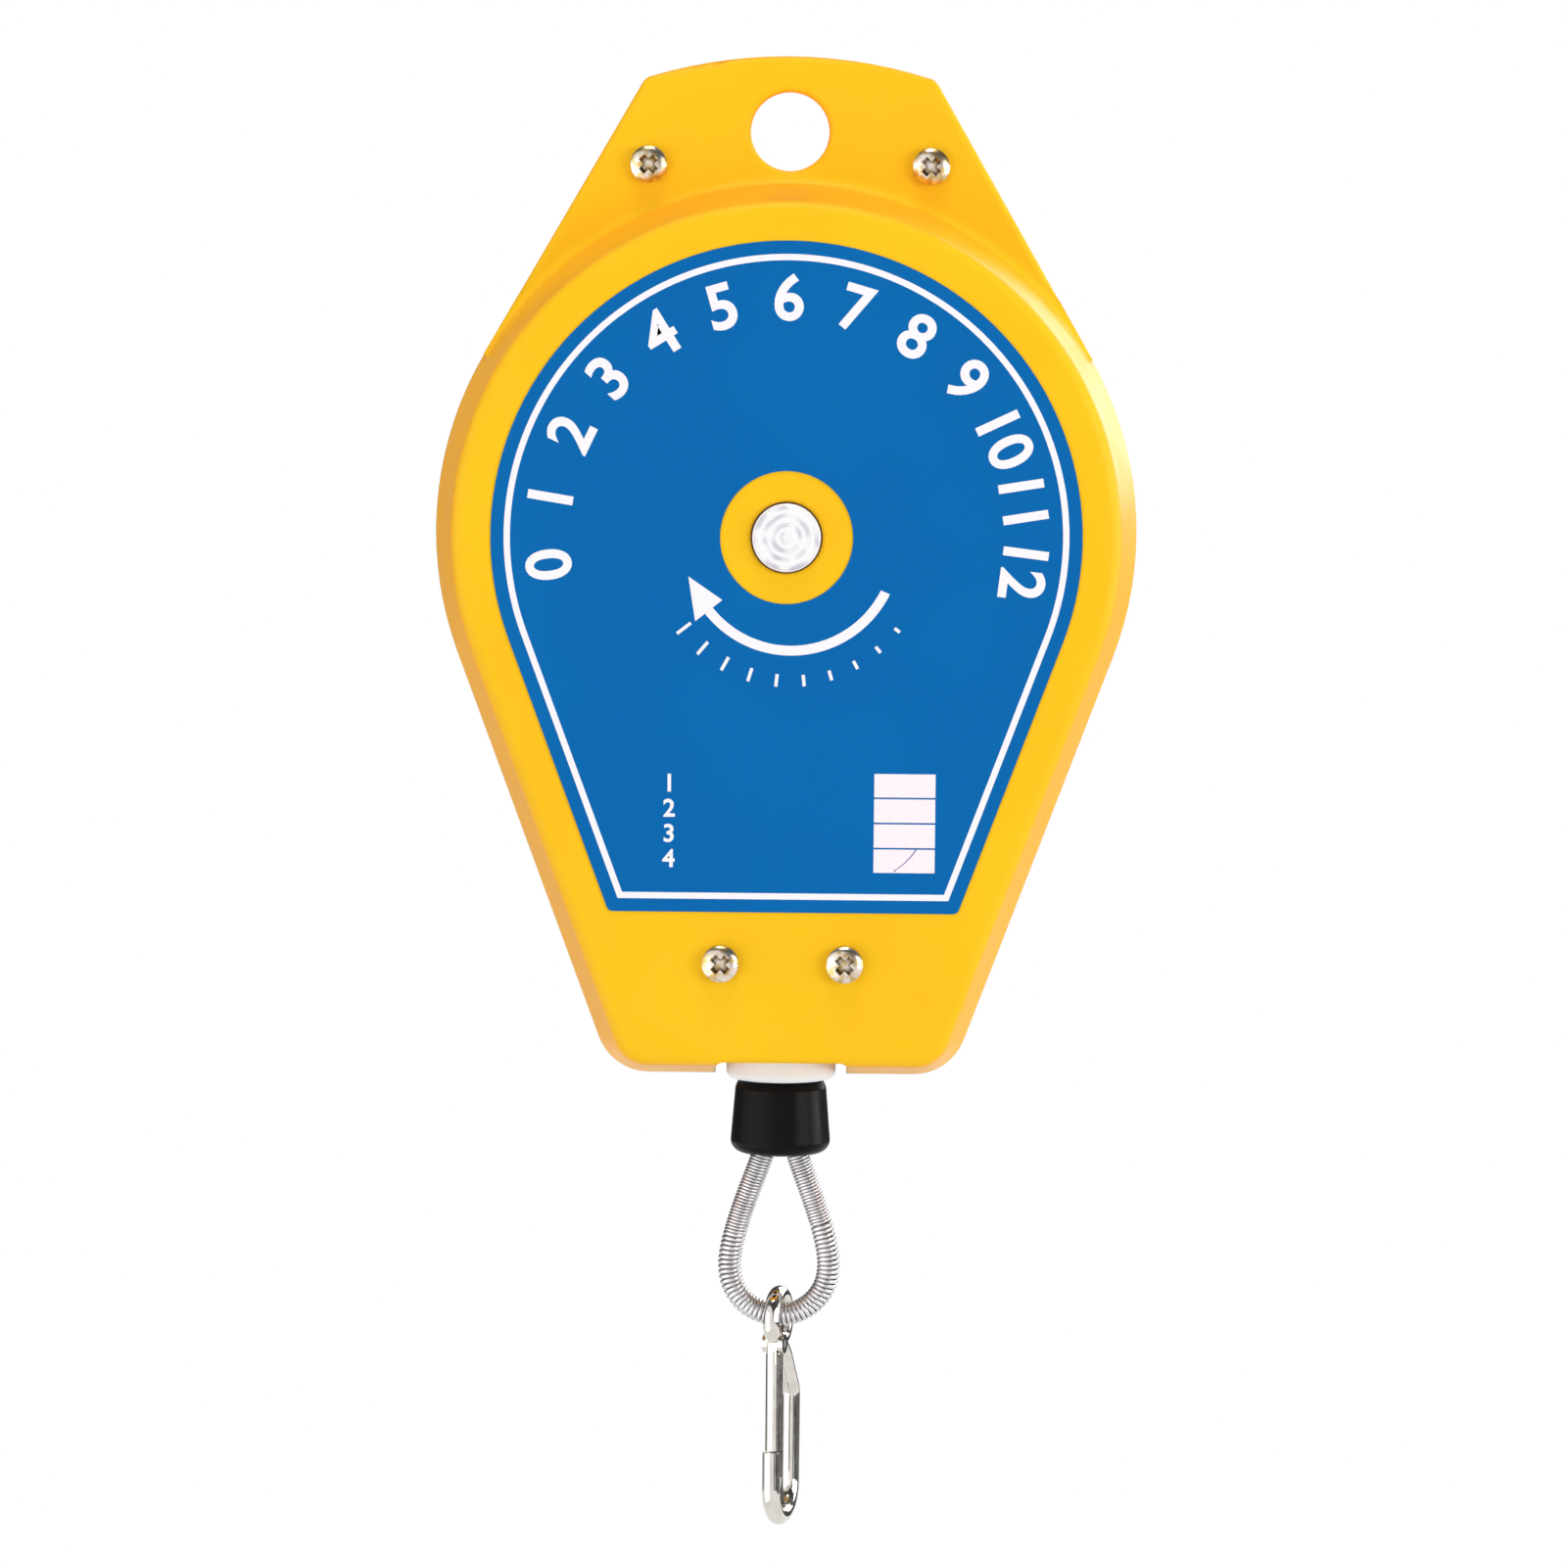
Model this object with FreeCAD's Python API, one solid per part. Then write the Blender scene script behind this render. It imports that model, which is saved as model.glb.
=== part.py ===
"""Spring balancer for hand tools: a drafted two-part case with a hanging ear, a rope drum driven by a
power spring on an adjustable spindle, a ratchet that holds the spindle, and a rope that ends in a rubber
stop, a spring-sheathed loop and a snap hook.

Frame: +Z up, -Y is the front, millimetres. The origin is the centre of the hanging hole.
"""
import FreeCAD
import Part
import math
import os

from FreeCAD import Placement, Rotation, Vector

X_AXIS = Vector(1, 0, 0)
Y_AXIS = Vector(0, 1, 0)
Z_AXIS = Vector(0, 0, 1)

# ---- Case outline, seen from the front and measured from the spindle axis ----
CASE_R = 65.0                # the round part of the outline
SIDE_ANGLE = 20.5            # slope of the lower sides, degrees from vertical
CASE_BOTTOM = 101.0          # spindle axis to the bottom edge
CORNER_R = 10.0              # bottom corners
EAR_MARGIN = 6.55            # metal between the hanging hole and the ear's top edge
EAR_SLOPE = 30.0             # slope of the ear's sides, degrees from vertical
EAR_CORNER_R = 2.6
RIM_BEYOND = 2.0             # edges farther out than this belong to the ear's corners
HOLE_ABOVE_CASE = 9.0        # centre of the hanging hole above the round part's top

# ---- Case section ----
COVER_DEPTH = 21.0           # parting plane to the outer face of either cover
WALL = 2.4
DRAFT = 10.8                 # lean of the dish walls, degrees
FLANGE_T = 3.2               # thickness of each cover's flange and ear
FLANGE_EDGE_R = 1.0
FACE_EDGE_R = 2.2
STEP_FILLET_R = 2.2          # hollow between the ear and the dish
NOTCH_HALF = 12.2            # recess in the bottom edge that holds the rope guide
NOTCH_HEIGHT = 4.4
NOTCH_CORNER_R = 1.5

# ---- Hanging hole and case screws ----
HANGING_HOLE_R = 7.25
HOLE_EDGE_R = 1.0
EAR_SCREW_OUT = 7.6          # ear screws outside the round part
EAR_SCREW_ANGLE = 21.0       # and to either side of the hanging hole, about the spindle axis
LOWER_SCREW_X = 11.4
LOWER_SCREW_Z = -78.2
SCREW_HEAD_R = 3.4
SCREW_HEAD_H = 2.3
SCREW_HEAD_ROUND = 1.5
CROSS_WIDTH = 0.9
CROSS_LENGTH = 4.0
CROSS_DEPTH = 1.4
SCREW_R = 1.7
SCREW_HOLE_R = 1.95          # clearance hole in the front cover
SCREW_PILOT_R = 1.75         # tapped hole in the rear cover
EAR_SCREW_LENGTH = 10.0
LOWER_SCREW_LENGTH = 33.0
BOSS_R = 3.7
EAR_BOSS_H = 5.5
PILOT_BEYOND = 1.0           # the tapped hole is this much deeper than its screw
PIN_BOSS_H = 3.2

# ---- Rating label ----
LABEL_INSET = 11.0           # round edge of the label inside the round part
LABEL_BOTTOM = 68.7
LABEL_T = 0.2
LABEL_HOLE_R = 12.15
LABEL_CORNER_R = 1.2

# ---- Spindle and its bushes ----
JOURNAL_R = 6.25
RUNNING = 0.05               # radial clearance of a running fit
SPINDLE_BODY_R = 7.0
SPINDLE_PROUD = 1.6          # front end stands out of the front face
SPINDLE_HOLE_R = 6.6         # hole in the front face around the journal
SPINDLE_CHAMFER = 0.5
BUSH_R = 8.0
BUSH_FLANGE_R = 10.0
BUSH_FLANGE_T = 1.0
BEARING_BOSS_R = 12.0
BUSH_SEAT = 13.8             # distance of the boss end from the parting plane
HEX_AF = 10.0                # spanner size of the rear end
HEX_END = 31.0
HEX_START = 21.3
SEAT_GAP = 0.05              # play between parts that lie on each other

# ---- Drum ----
ROPE_R = 1.2
ROPE_OUT = 7.0               # spring cavity to the rope's centreline on the drum
ROPE_LEAD = 2.36              # spacing of the rope turns
LAST_TURN_GAP = 40.0         # degrees without rope after the point where it leaves the drum
RUN_ASIDE = 0.06             # keeps the leaving rope off the turn beside it
RUN_STRAIGHT = 16.0          # the rope leaves the drum square over this length
WRAPS = 6                    # turns on the drum with the rope wound in
DRUM_HALF = 12.5
FLANGE_OUT = 9.0             # rope centreline to the edge of the drum's flanges
DRUM_FLANGE_T = 2.0
SPRING_CAVITY_R = 31.0
LID_OVERLAP = 4.0            # the lid's edge beyond the spring cavity
LID_T = 2.4
LID_SCREW_IN = 1.9           # lid screws inside the lid's edge
LID_SCREW_R = 1.25
LID_SCREW_HEAD_R = 1.9
LID_SCREW_LENGTH = 8.0
LID_SCREWS = 4
LID_SLOT = 0.7
HUB_R = 12.0
HUB_DEPTH = 4.0
DRUM_BUSH_R = 9.0
ANCHOR_R = 2.3
ANCHOR_LENGTH = 3.6
ANCHOR_ANGLE = 90.0

# ---- Power spring ----
STRIP_T = 0.6
STRIP_HALF_WIDTH = 7.9
COIL_ROOM = 1.4              # room outside the last coil
COIL_START_R = 8.0
COIL_TURNS = 9
SPRING_SLOT = 1.0
TAB_LENGTH = 2.6

# ---- Rope guide ----
GUIDE_R = 10.2
GUIDE_DROP = 0.8             # guide stands below the case's bottom edge
GUIDE_EDGE_R = 1.3
GUIDE_NECK_R = 7.4
GUIDE_BODY_R = 10.6
GUIDE_RISE = 9.2             # height of the guide above the notch wall, inside
GUIDE_BORE_R = 1.7
MOUTH_R = 8.4
GUIDE_LIP_R = 0.6
FIT = 0.1                    # gap between parts that are clamped or pushed together

# ---- Ratchet wheel and pawl, outside the rear cover ----
TEETH = 12
TOOTH_TIP_R = 16.0
TOOTH_ROOT_R = 13.1
WHEEL_T = 4.0
WHEEL_GAP = 0.6              # wheel to the rear cover's face
WASHER_R = 8.5
WASHER_T = 0.8
CLIP_R = 7.6
CLIP_T = 1.0
CLIP_GROOVE_R = 4.3
CLIP_OPENING = 5.4
PAWL_PIVOT = (-17.0, 17.5)   # from the spindle axis
PAWL_PIN_R = 2.0
PAWL_EYE_R = 3.7
PAWL_T = 3.6
TAIL_PAD_R = 4.6             # thumb pad behind the pin, as heavy as the arm, so that only the leaf turns the pawl
TAIL_REACH = 8.6             # pin to the middle of the pad
TAIL_NECK = 5.0
NOSE_GAP = 0.35
NOSE_BOTTOM = 13.5
NOSE_TOP = 17.4
NOSE_SPAN = 30               # degrees of the wheel under the shaped underside of the nose
NOSE_STEP = 5
NOSE_RISE = 3.3
PIN_HEAD_R = 3.4
PIN_HEAD_T = 1.6
PIN_THREAD_R = 1.5
PIN_THREAD_LENGTH = 5.0
LEAF_T = 0.4
LEAF_POST = (8.0, 27.4)
LEAF_POST_R = 2.6
LEAF_INSET = 0.4
LEAF_BEND = (-8.5, 20.1)
LEAF_TIP = (-10.5, 21.0)
PIN_PLAY = 0.3

# ---- Rubber stop, ferrule and rope loop ----
STOP_GAP = 0.2               # stop to the rope guide with the rope wound in
STOP_TOP_R = 7.9
STOP_SHOULDER_R = 8.5
STOP_BOTTOM_R = 9.3
STOP_SIDE_H = 11.4
STOP_H = 13.8
STOP_SHOULDER_H = 1.6
STOP_TOP_ROUND = 1.2
STOP_CAVITY_R = 6.0
STOP_CAVITY_H = 11.2
FERRULE_R = 1.9
FERRULE_LENGTH = 5.4
LEG_SPACING = 2.8            # between the two rope legs in the ferrule
LEG_DEPTH = 2.1              # the legs reach this far into the ferrule
PAYOUT_DEPTH = 2.6
SHEATH_R = 2.15
SHEATH_BORE_R = 1.3
LOOP_R = 9.35                # centreline of the loop's round bottom
LOOP_CENTRE = 137.3          # below the spindle axis
LOOP_LEAN = 20.6             # lean of the loop's upper legs, degrees from vertical
LEG_TOP = 111.6              # these three heights are below the spindle axis
SHEATH_TOP = 114.9
KNEE = 130.5
LOOP_CORNERS = 5

# ---- Snap hook ----
HOOK_TURN = 17.0             # turn of the hook's plane out of the fore-and-aft plane, degrees
HOOK_WIRE_R = 1.7
EYE_R = 4.5
EYE_WIRE_R = 1.55
EYE_DROP = 0.5               # centre of the eye below the centreline of the loop
HOOK_LENGTH = 45.8
NOSE_X = -3.6                # places across the hook's plane, away from the eye's centre
SPINE_X = 8.6
GATE_X = -2.3
NECK_X = 3.2
GATE_R = 1.6
NECK_BOTTOM = 13.4
NOSE_START = 31.0
GATE_END = 36.0
GATE_PIVOT = 10.6
GATE_TONGUE_T = 1.6
FORK_SLOT = 1.8
FORK_R = 1.8
GATE_PIN_R = 0.8
FORK_HALF = 2.0
GATE_FLAT = 0.8              # the inner side of the bar is flat near the fork
GATE_FLAT_END = 17.0
TONGUE_R = 1.5
HOOK_PLAY = 0.25
SHOULDER = 21.0
NECK_BEND_R = 3.5
LAP_GAP = 0.15

LABEL_R = CASE_R - LABEL_INSET
ROPE_PITCH_R = SPRING_CAVITY_R + ROPE_OUT
DRUM_FLANGE_R = ROPE_PITCH_R + FLANGE_OUT
LID_R = SPRING_CAVITY_R + LID_OVERLAP
LID_SCREW_CIRCLE = LID_R - LID_SCREW_IN
COIL_SPACING = (SPRING_CAVITY_R - COIL_ROOM - COIL_START_R) / COIL_TURNS
HOLE_TO_SPINDLE = CASE_R + HOLE_ABOVE_CASE
EAR_R = HOLE_TO_SPINDLE + HANGING_HOLE_R + EAR_MARGIN
EAR_SCREW_X = (CASE_R + EAR_SCREW_OUT) * math.sin(math.radians(EAR_SCREW_ANGLE))
EAR_SCREW_Z = (CASE_R + EAR_SCREW_OUT) * math.cos(math.radians(EAR_SCREW_ANGLE))
SPINDLE_Z = -HOLE_TO_SPINDLE
NOTCH_TOP_Z = SPINDLE_Z - CASE_BOTTOM + NOTCH_HEIGHT
GUIDE_BOTTOM_Z = SPINDLE_Z - CASE_BOTTOM - GUIDE_DROP
STOP_TOP_Z = GUIDE_BOTTOM_Z - STOP_GAP
GUIDE_TOP_Z = NOTCH_TOP_Z + WALL + GUIDE_RISE
BEND_Z = GUIDE_TOP_Z - MOUTH_R            # where the rope starts to bend towards the drum
BEND_R = MOUTH_R + GUIDE_BORE_R
BUSH_INNER_END = BUSH_SEAT - BUSH_FLANGE_T
RUN_END_Z = GUIDE_BOTTOM_Z + 3.0          # inside the guide's bore
SPINDLE_ORIGIN = Vector(0, 0, SPINDLE_Z)


# ---------------------------------------------------------------- helpers
def at(x, z, y=0.0):
    """A point given from the spindle axis: x to the right, z up, y to the rear."""
    return Vector(x, y, SPINDLE_Z + z)


def polar(radius, angle, y=0.0):
    """A point at an angle from +X, counted anticlockwise as seen from the front."""
    a = math.radians(angle)
    return at(radius * math.cos(a), radius * math.sin(a), y)


def rod(start, end, radius):
    """A round rod between two points."""
    return Part.makeCylinder(radius, (end - start).Length, start, end - start)


def tube(start, end, outer, inner):
    return rod(start, end, outer).cut(rod(start, end, inner))


def box(low, high):
    size = high - low
    return Part.makeBox(size.x, size.y, size.z, low)


def prism(wire, y_end):
    """The solid between a flat wire and the plane y = y_end."""
    return Part.Face(wire).extrude(Vector(0, y_end - wire.Vertexes[0].Y, 0))


def polygon(points):
    return Part.makePolygon(list(points) + [points[0]])


def revolved(profile, centre=Vector(0, 0, SPINDLE_Z), axis=Y_AXIS, start=0.0, sweep=360.0):
    """Turns a closed profile of (radius, distance along the axis) about the axis."""
    across = X_AXIS
    points = [centre + across * r + axis * d for r, d in profile]
    return turned_face(Part.Face(polygon(points)), centre, axis, start, sweep)


def turned_face(face, centre, axis, start=0.0, sweep=360.0):
    face.rotate(centre, axis, start)
    return face.revolve(centre, axis, sweep)


def fused(first, *others):
    result = first
    for other in others:
        result = result.fuse(other)
    return result.removeSplitter()


def hexagon(across_flats, centre, y):
    radius = across_flats / math.sqrt(3)
    corners = [
        centre + Vector(radius * math.cos(math.radians(a)), 0, radius * math.sin(math.radians(a)))
        for a in range(0, 360, 60)
    ]
    for corner in corners:
        corner.y = y
    return polygon(corners)


def turn_radii(points):
    """The largest comfortable arc at each corner of a route: 0.45 of its shorter run on either side."""
    radii = []
    for before, corner, after in zip(points, points[1:], points[2:]):
        half_turn = (math.pi - (before - corner).getAngle(after - corner)) / 2
        shorter = min((before - corner).Length, (after - corner).Length)
        radii.append(0.45 * shorter / math.tan(half_turn))
    return radii


def rounded_path(points, radii):
    """Straight runs between the points, joined by tangent arcs of the given radii."""
    edges = []
    last = points[0]
    for before, corner, after, radius in zip(points, points[1:], points[2:], radii):
        to_before = (before - corner).normalize()
        to_after = (after - corner).normalize()
        half_turn = (math.pi - to_before.getAngle(to_after)) / 2
        reach = radius * math.tan(half_turn)
        start = corner + to_before * reach
        end = corner + to_after * reach
        inward = (to_before + to_after).normalize()
        middle = corner + inward * (radius / math.cos(half_turn) - radius)
        edges.append(Part.LineSegment(last, start).toShape())
        edges.append(Part.Arc(start, middle, end).toShape())
        last = end
    edges.append(Part.LineSegment(last, points[-1]).toShape())
    return Part.Wire(edges)


def swept(path, radius):
    """A round section carried along a path."""
    start = path.Vertexes[0].Point
    first = path.Edges[0]
    direction = first.tangentAt(first.FirstParameter)
    section = Part.Wire(Part.Circle(start, direction, radius).toShape())
    return path.makePipeShell([section], True, False)


def round_rims(shape, radius, rims, centre_line=Y_AXIS):
    """Rounds the circular edges named by (radius, place along the axis)."""
    found = []
    for edge in shape.Edges:
        if not isinstance(edge.Curve, Part.Circle):
            continue
        place = edge.Curve.Center.dot(centre_line)
        for rim_r, rim_place in rims:
            if abs(edge.Curve.Radius - rim_r) < 1e-4 and abs(place - rim_place) < 1e-4:
                found.append(edge)
    return shape.makeFillet(radius, found)


def edges_at(shape, y):
    """The edges that lie flat in the plane y."""
    return [e for e in shape.Edges if abs(e.BoundBox.YMin - y) < 1e-5 and abs(e.BoundBox.YMax - y) < 1e-5]


# ---------------------------------------------------------------- case
def shield(radius, bottom, corner_r, y):
    """Closed outline with a round top, straight lower sides and rounded bottom corners."""
    slope = math.radians(SIDE_ANGLE)
    down = Vector(-math.sin(slope), 0, -math.cos(slope))
    side_top = polar(radius, -SIDE_ANGLE, y)
    corner = at((radius - bottom * math.sin(slope)) / math.cos(slope), -bottom, y)
    reach = corner_r * math.tan(math.radians(90 - SIDE_ANGLE) / 2)
    side_low = corner - down * reach
    base = corner - X_AXIS * reach
    centre = base + Z_AXIS * corner_r
    bulge = centre + (corner - centre).normalize() * corner_r
    return Part.Wire([
        Part.Arc(side_top, polar(radius, 90, y), mirrored(side_top)).toShape(),
        Part.LineSegment(mirrored(side_top), mirrored(side_low)).toShape(),
        Part.Arc(mirrored(side_low), mirrored(bulge), mirrored(base)).toShape(),
        Part.LineSegment(mirrored(base), base).toShape(),
        Part.Arc(base, bulge, side_low).toShape(),
        Part.LineSegment(side_low, side_top).toShape(),
    ])


def mirrored(point):
    return Vector(-point.x, point.y, point.z)


def dish(inset, depth):
    """Drafted solid from the parting plane forwards, everywhere inset from the case's outside."""
    outlines = []
    for y in (0.0, depth):
        shift = inset + y * math.tan(math.radians(DRAFT))
        outlines.append(shield(CASE_R - shift, CASE_BOTTOM - shift, CORNER_R - shift, -y))
    return Part.makeLoft(outlines, True, True)


def ear_outline(y):
    corner_angle = EAR_SLOPE + math.degrees(math.acos(CASE_R / EAR_R))
    foot = polar(CASE_R, EAR_SLOPE, y)
    corner = polar(EAR_R, corner_angle, y)
    top = polar(EAR_R, 90, y)
    root = at(0, 0, y)
    return Part.Wire([
        Part.LineSegment(root, foot).toShape(),
        Part.LineSegment(foot, corner).toShape(),
        Part.Arc(corner, top, mirrored(corner)).toShape(),
        Part.LineSegment(mirrored(corner), mirrored(foot)).toShape(),
        Part.LineSegment(mirrored(foot), root).toShape(),
    ])


def ear_plate():
    """The flat ear of one cover, with rounded corners, edges and hanging hole."""
    plate = prism(ear_outline(0.0), -FLANGE_T)
    upright = [e for e in plate.Edges if e.BoundBox.YLength > FLANGE_T / 2 and from_spindle(e) > CASE_R + RIM_BEYOND]
    plate = plate.makeFillet(EAR_CORNER_R, upright)
    plate = plate.cut(rod(Vector(0, 1, 0), Vector(0, -FLANGE_T - 1, 0), HANGING_HOLE_R))
    plate = round_rims(plate, HOLE_EDGE_R, [(HANGING_HOLE_R, -FLANGE_T)])
    lip_r = HANGING_HOLE_R + HOLE_EDGE_R
    rim = [
        e for e in edges_at(plate, -FLANGE_T)
        if from_spindle(e) > CASE_R and abs(getattr(e.Curve, "Radius", 0) - lip_r) > 1e-4
    ]
    return plate.makeFillet(FLANGE_EDGE_R, rim)


def from_spindle(edge):
    """Distance of an edge's middle from the spindle axis, seen from the front."""
    middle = edge.valueAt((edge.FirstParameter + edge.LastParameter) / 2) - SPINDLE_ORIGIN
    return math.hypot(middle.x, middle.z)


def step_fillet():
    """The hollow rounding where the dish rises from the ear."""
    lean = math.radians(DRAFT)
    centre_y = FLANGE_T + STEP_FILLET_R
    centre_r = CASE_R - math.tan(lean) * centre_y + STEP_FILLET_R / math.cos(lean)
    across = Vector(math.cos(lean), -math.sin(lean), 0)
    centre = at(centre_r, 0, -centre_y)
    on_wall = centre - across * STEP_FILLET_R
    on_ear = centre + Y_AXIS * STEP_FILLET_R
    middle = centre + (Y_AXIS - across).normalize() * STEP_FILLET_R
    inner_r = on_wall.x - 1.0
    face = Part.Face(Part.Wire([
        Part.Arc(on_wall, middle, on_ear).toShape(),
        Part.LineSegment(on_ear, on_ear + Y_AXIS).toShape(),
        Part.LineSegment(on_ear + Y_AXIS, at(inner_r, 0, on_ear.y + 1)).toShape(),
        Part.LineSegment(at(inner_r, 0, on_ear.y + 1), at(inner_r, 0, on_wall.y)).toShape(),
        Part.LineSegment(at(inner_r, 0, on_wall.y), on_wall).toShape(),
    ]))
    ring = turned_face(face, at(0, 0), Y_AXIS, 0, 360)
    return ring.common(prism(ear_outline(0.0), -CASE_R))


def cover_blank():
    """Everything the two covers share, drawn as the front one."""
    outside = dish(0.0, COVER_DEPTH)
    outside = outside.makeFillet(FACE_EDGE_R, edges_at(outside, -COVER_DEPTH))
    outside = outside.fuse([ear_plate(), step_fillet()])
    cavity = dish(WALL, COVER_DEPTH - WALL)
    below = SPINDLE_Z - CASE_BOTTOM - 1
    wall_over_notch = box(
        Vector(-NOTCH_HALF - WALL, -COVER_DEPTH, below),
        Vector(NOTCH_HALF + WALL, 1, NOTCH_TOP_Z + WALL),
    )
    notch = box(Vector(-NOTCH_HALF, -COVER_DEPTH - 1, below), Vector(NOTCH_HALF, 1, NOTCH_TOP_Z))
    ceiling = [
        e for e in notch.Edges
        if e.BoundBox.YLength > COVER_DEPTH and e.BoundBox.ZMin > NOTCH_TOP_Z - 0.1
    ]
    notch = notch.makeFillet(NOTCH_CORNER_R, ceiling)
    neck = rod(Vector(0, 0, below), Vector(0, 0, GUIDE_TOP_Z), GUIDE_NECK_R + FIT)
    blank = outside.cut([cavity.cut(wall_over_notch), notch, neck])
    bearing = rod(at(0, 0, -COVER_DEPTH + WALL / 2), at(0, 0, -BUSH_SEAT), BEARING_BOSS_R)
    posts = [
        rod(at(x, LOWER_SCREW_Z, -COVER_DEPTH + WALL / 2), at(x, LOWER_SCREW_Z), BOSS_R)
        for x in (-LOWER_SCREW_X, LOWER_SCREW_X)
    ]
    blank = blank.fuse([bearing] + posts)
    return blank.cut([
        rod(at(0, 0, -COVER_DEPTH - 1), at(0, 0), SPINDLE_HOLE_R),
        rod(at(0, 0, -COVER_DEPTH + WALL), at(0, 0), BUSH_R),
        rod(Vector(0, 1, 0), Vector(0, -COVER_DEPTH, 0), HANGING_HOLE_R),
    ]).removeSplitter()


def front_cover(blank):
    holes = [
        rod(at(x, z, -COVER_DEPTH - 1), at(x, z, 1), SCREW_HOLE_R)
        for x, z in case_screw_places()
    ]
    return blank.cut(holes)


def case_screw_places():
    return [
        (-EAR_SCREW_X, EAR_SCREW_Z), (EAR_SCREW_X, EAR_SCREW_Z),
        (-LOWER_SCREW_X, LOWER_SCREW_Z), (LOWER_SCREW_X, LOWER_SCREW_Z),
    ]


def rear_cover(blank):
    cover = blank.mirror(Vector(0, 0, 0), Y_AXIS)
    ear_bosses = [
        rod(at(x, EAR_SCREW_Z, FLANGE_T / 2), at(x, EAR_SCREW_Z, FLANGE_T + EAR_BOSS_H), BOSS_R)
        for x in (-EAR_SCREW_X, EAR_SCREW_X)
    ]
    inside = COVER_DEPTH - WALL
    pin_bosses = [
        rod(at(x, z, COVER_DEPTH - WALL / 2), at(x, z, inside - PIN_BOSS_H), BOSS_R)
        for x, z in (PAWL_PIVOT, LEAF_POST)
    ]
    cover = cover.fuse(ear_bosses + pin_bosses)
    ear_depth = EAR_SCREW_LENGTH - FLANGE_T + PILOT_BEYOND
    lower_depth = LOWER_SCREW_LENGTH - COVER_DEPTH + PILOT_BEYOND
    holes = [
        rod(at(x, z, -1), at(x, z, ear_depth if z > 0 else lower_depth), SCREW_PILOT_R)
        for x, z in case_screw_places()
    ]
    holes += [
        rod(at(x, z, COVER_DEPTH + 1), at(x, z, COVER_DEPTH - PIN_THREAD_LENGTH - FIT), PIN_THREAD_R + SEAT_GAP)
        for x, z in (PAWL_PIVOT, LEAF_POST)
    ]
    return cover.cut(holes).removeSplitter()


def rating_label():
    face_y = -COVER_DEPTH
    plate = prism(shield(LABEL_R, LABEL_BOTTOM, LABEL_CORNER_R, face_y), face_y - LABEL_T)
    return plate.cut(rod(at(0, 0, 0), at(0, 0, face_y - 1), LABEL_HOLE_R))


def cross_recess(tip, width, length, depth):
    """The cross cut by a cross-head driver, from its mouth at tip towards +Y."""
    cuts = []
    for across, along in ((width, length), (length, width)):
        half = Vector(across / 2, 0, along / 2)
        cuts.append(box(tip - half - Y_AXIS, tip + half + Y_AXIS * depth))
    return cuts


def case_screw(x, z):
    """Pan-head screw whose head sits on the front of the case."""
    on_ear = z > 0
    seat = -FLANGE_T if on_ear else -COVER_DEPTH
    length = EAR_SCREW_LENGTH if on_ear else LOWER_SCREW_LENGTH
    head = Part.makeCylinder(SCREW_HEAD_R, SCREW_HEAD_H, at(x, z, seat), -Y_AXIS)
    head = head.makeFillet(SCREW_HEAD_ROUND, edges_at(head, seat - SCREW_HEAD_H))
    head = head.cut(cross_recess(at(x, z, seat - SCREW_HEAD_H), CROSS_WIDTH, CROSS_LENGTH, CROSS_DEPTH))
    shank = rod(at(x, z, seat - SCREW_HEAD_H + CROSS_DEPTH + 0.4), at(x, z, seat + length), SCREW_R)
    return head.fuse(shank).removeSplitter()


def bush(direction):
    """Flanged bearing bush; direction is -1 for the front cover and +1 for the rear one."""
    seat = BUSH_SEAT
    profile = [
        (JOURNAL_R + RUNNING, seat - BUSH_FLANGE_T), (BUSH_FLANGE_R, seat - BUSH_FLANGE_T),
        (BUSH_FLANGE_R, seat), (BUSH_R - SEAT_GAP, seat),
        (BUSH_R - SEAT_GAP, COVER_DEPTH - WALL), (JOURNAL_R + RUNNING, COVER_DEPTH - WALL),
    ]
    return revolved([(r, y * direction) for r, y in profile])


def rope_guide():
    """Nylon guide held by its neck between the covers, with a rounded mouth towards the drum."""
    body = revolved([
        (GUIDE_BORE_R, GUIDE_BOTTOM_Z), (GUIDE_R, GUIDE_BOTTOM_Z), (GUIDE_R, NOTCH_TOP_Z - SEAT_GAP),
        (GUIDE_NECK_R, NOTCH_TOP_Z - SEAT_GAP), (GUIDE_NECK_R, NOTCH_TOP_Z + WALL + SEAT_GAP),
        (GUIDE_BODY_R, NOTCH_TOP_Z + WALL + SEAT_GAP), (GUIDE_BODY_R, GUIDE_TOP_Z),
        (GUIDE_BORE_R, GUIDE_TOP_Z),
    ], Vector(0, 0, 0), Z_AXIS)
    body = round_rims(body, GUIDE_EDGE_R, [(GUIDE_R, GUIDE_BOTTOM_Z)], Z_AXIS)
    body = round_rims(body, GUIDE_LIP_R, [(GUIDE_BORE_R, GUIDE_BOTTOM_Z)], Z_AXIS)
    return round_rims(body, MOUTH_R, [(GUIDE_BORE_R, GUIDE_TOP_Z)], Z_AXIS)


# ---------------------------------------------------------------- drum and power spring
def wrap_places():
    first = -ROPE_LEAD * (WRAPS - 1) / 2
    return [first + ROPE_LEAD * k for k in range(WRAPS)]


def wrap_rings(radius):
    """Side by side turns of rope, or the grooves they lie in."""
    discs = [
        Part.Face(Part.Wire(Part.Circle(at(ROPE_PITCH_R, 0, y), Z_AXIS, radius).toShape()))
        for y in wrap_places()
    ]
    section = discs[0].fuse(discs[1:]).removeSplitter()
    return section.Faces[0].revolve(at(0, 0), Y_AXIS, 360)


def lid_screw_places():
    return [polar(LID_SCREW_CIRCLE, 45 + 360 / LID_SCREWS * k, DRUM_HALF) for k in range(LID_SCREWS)]


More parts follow.
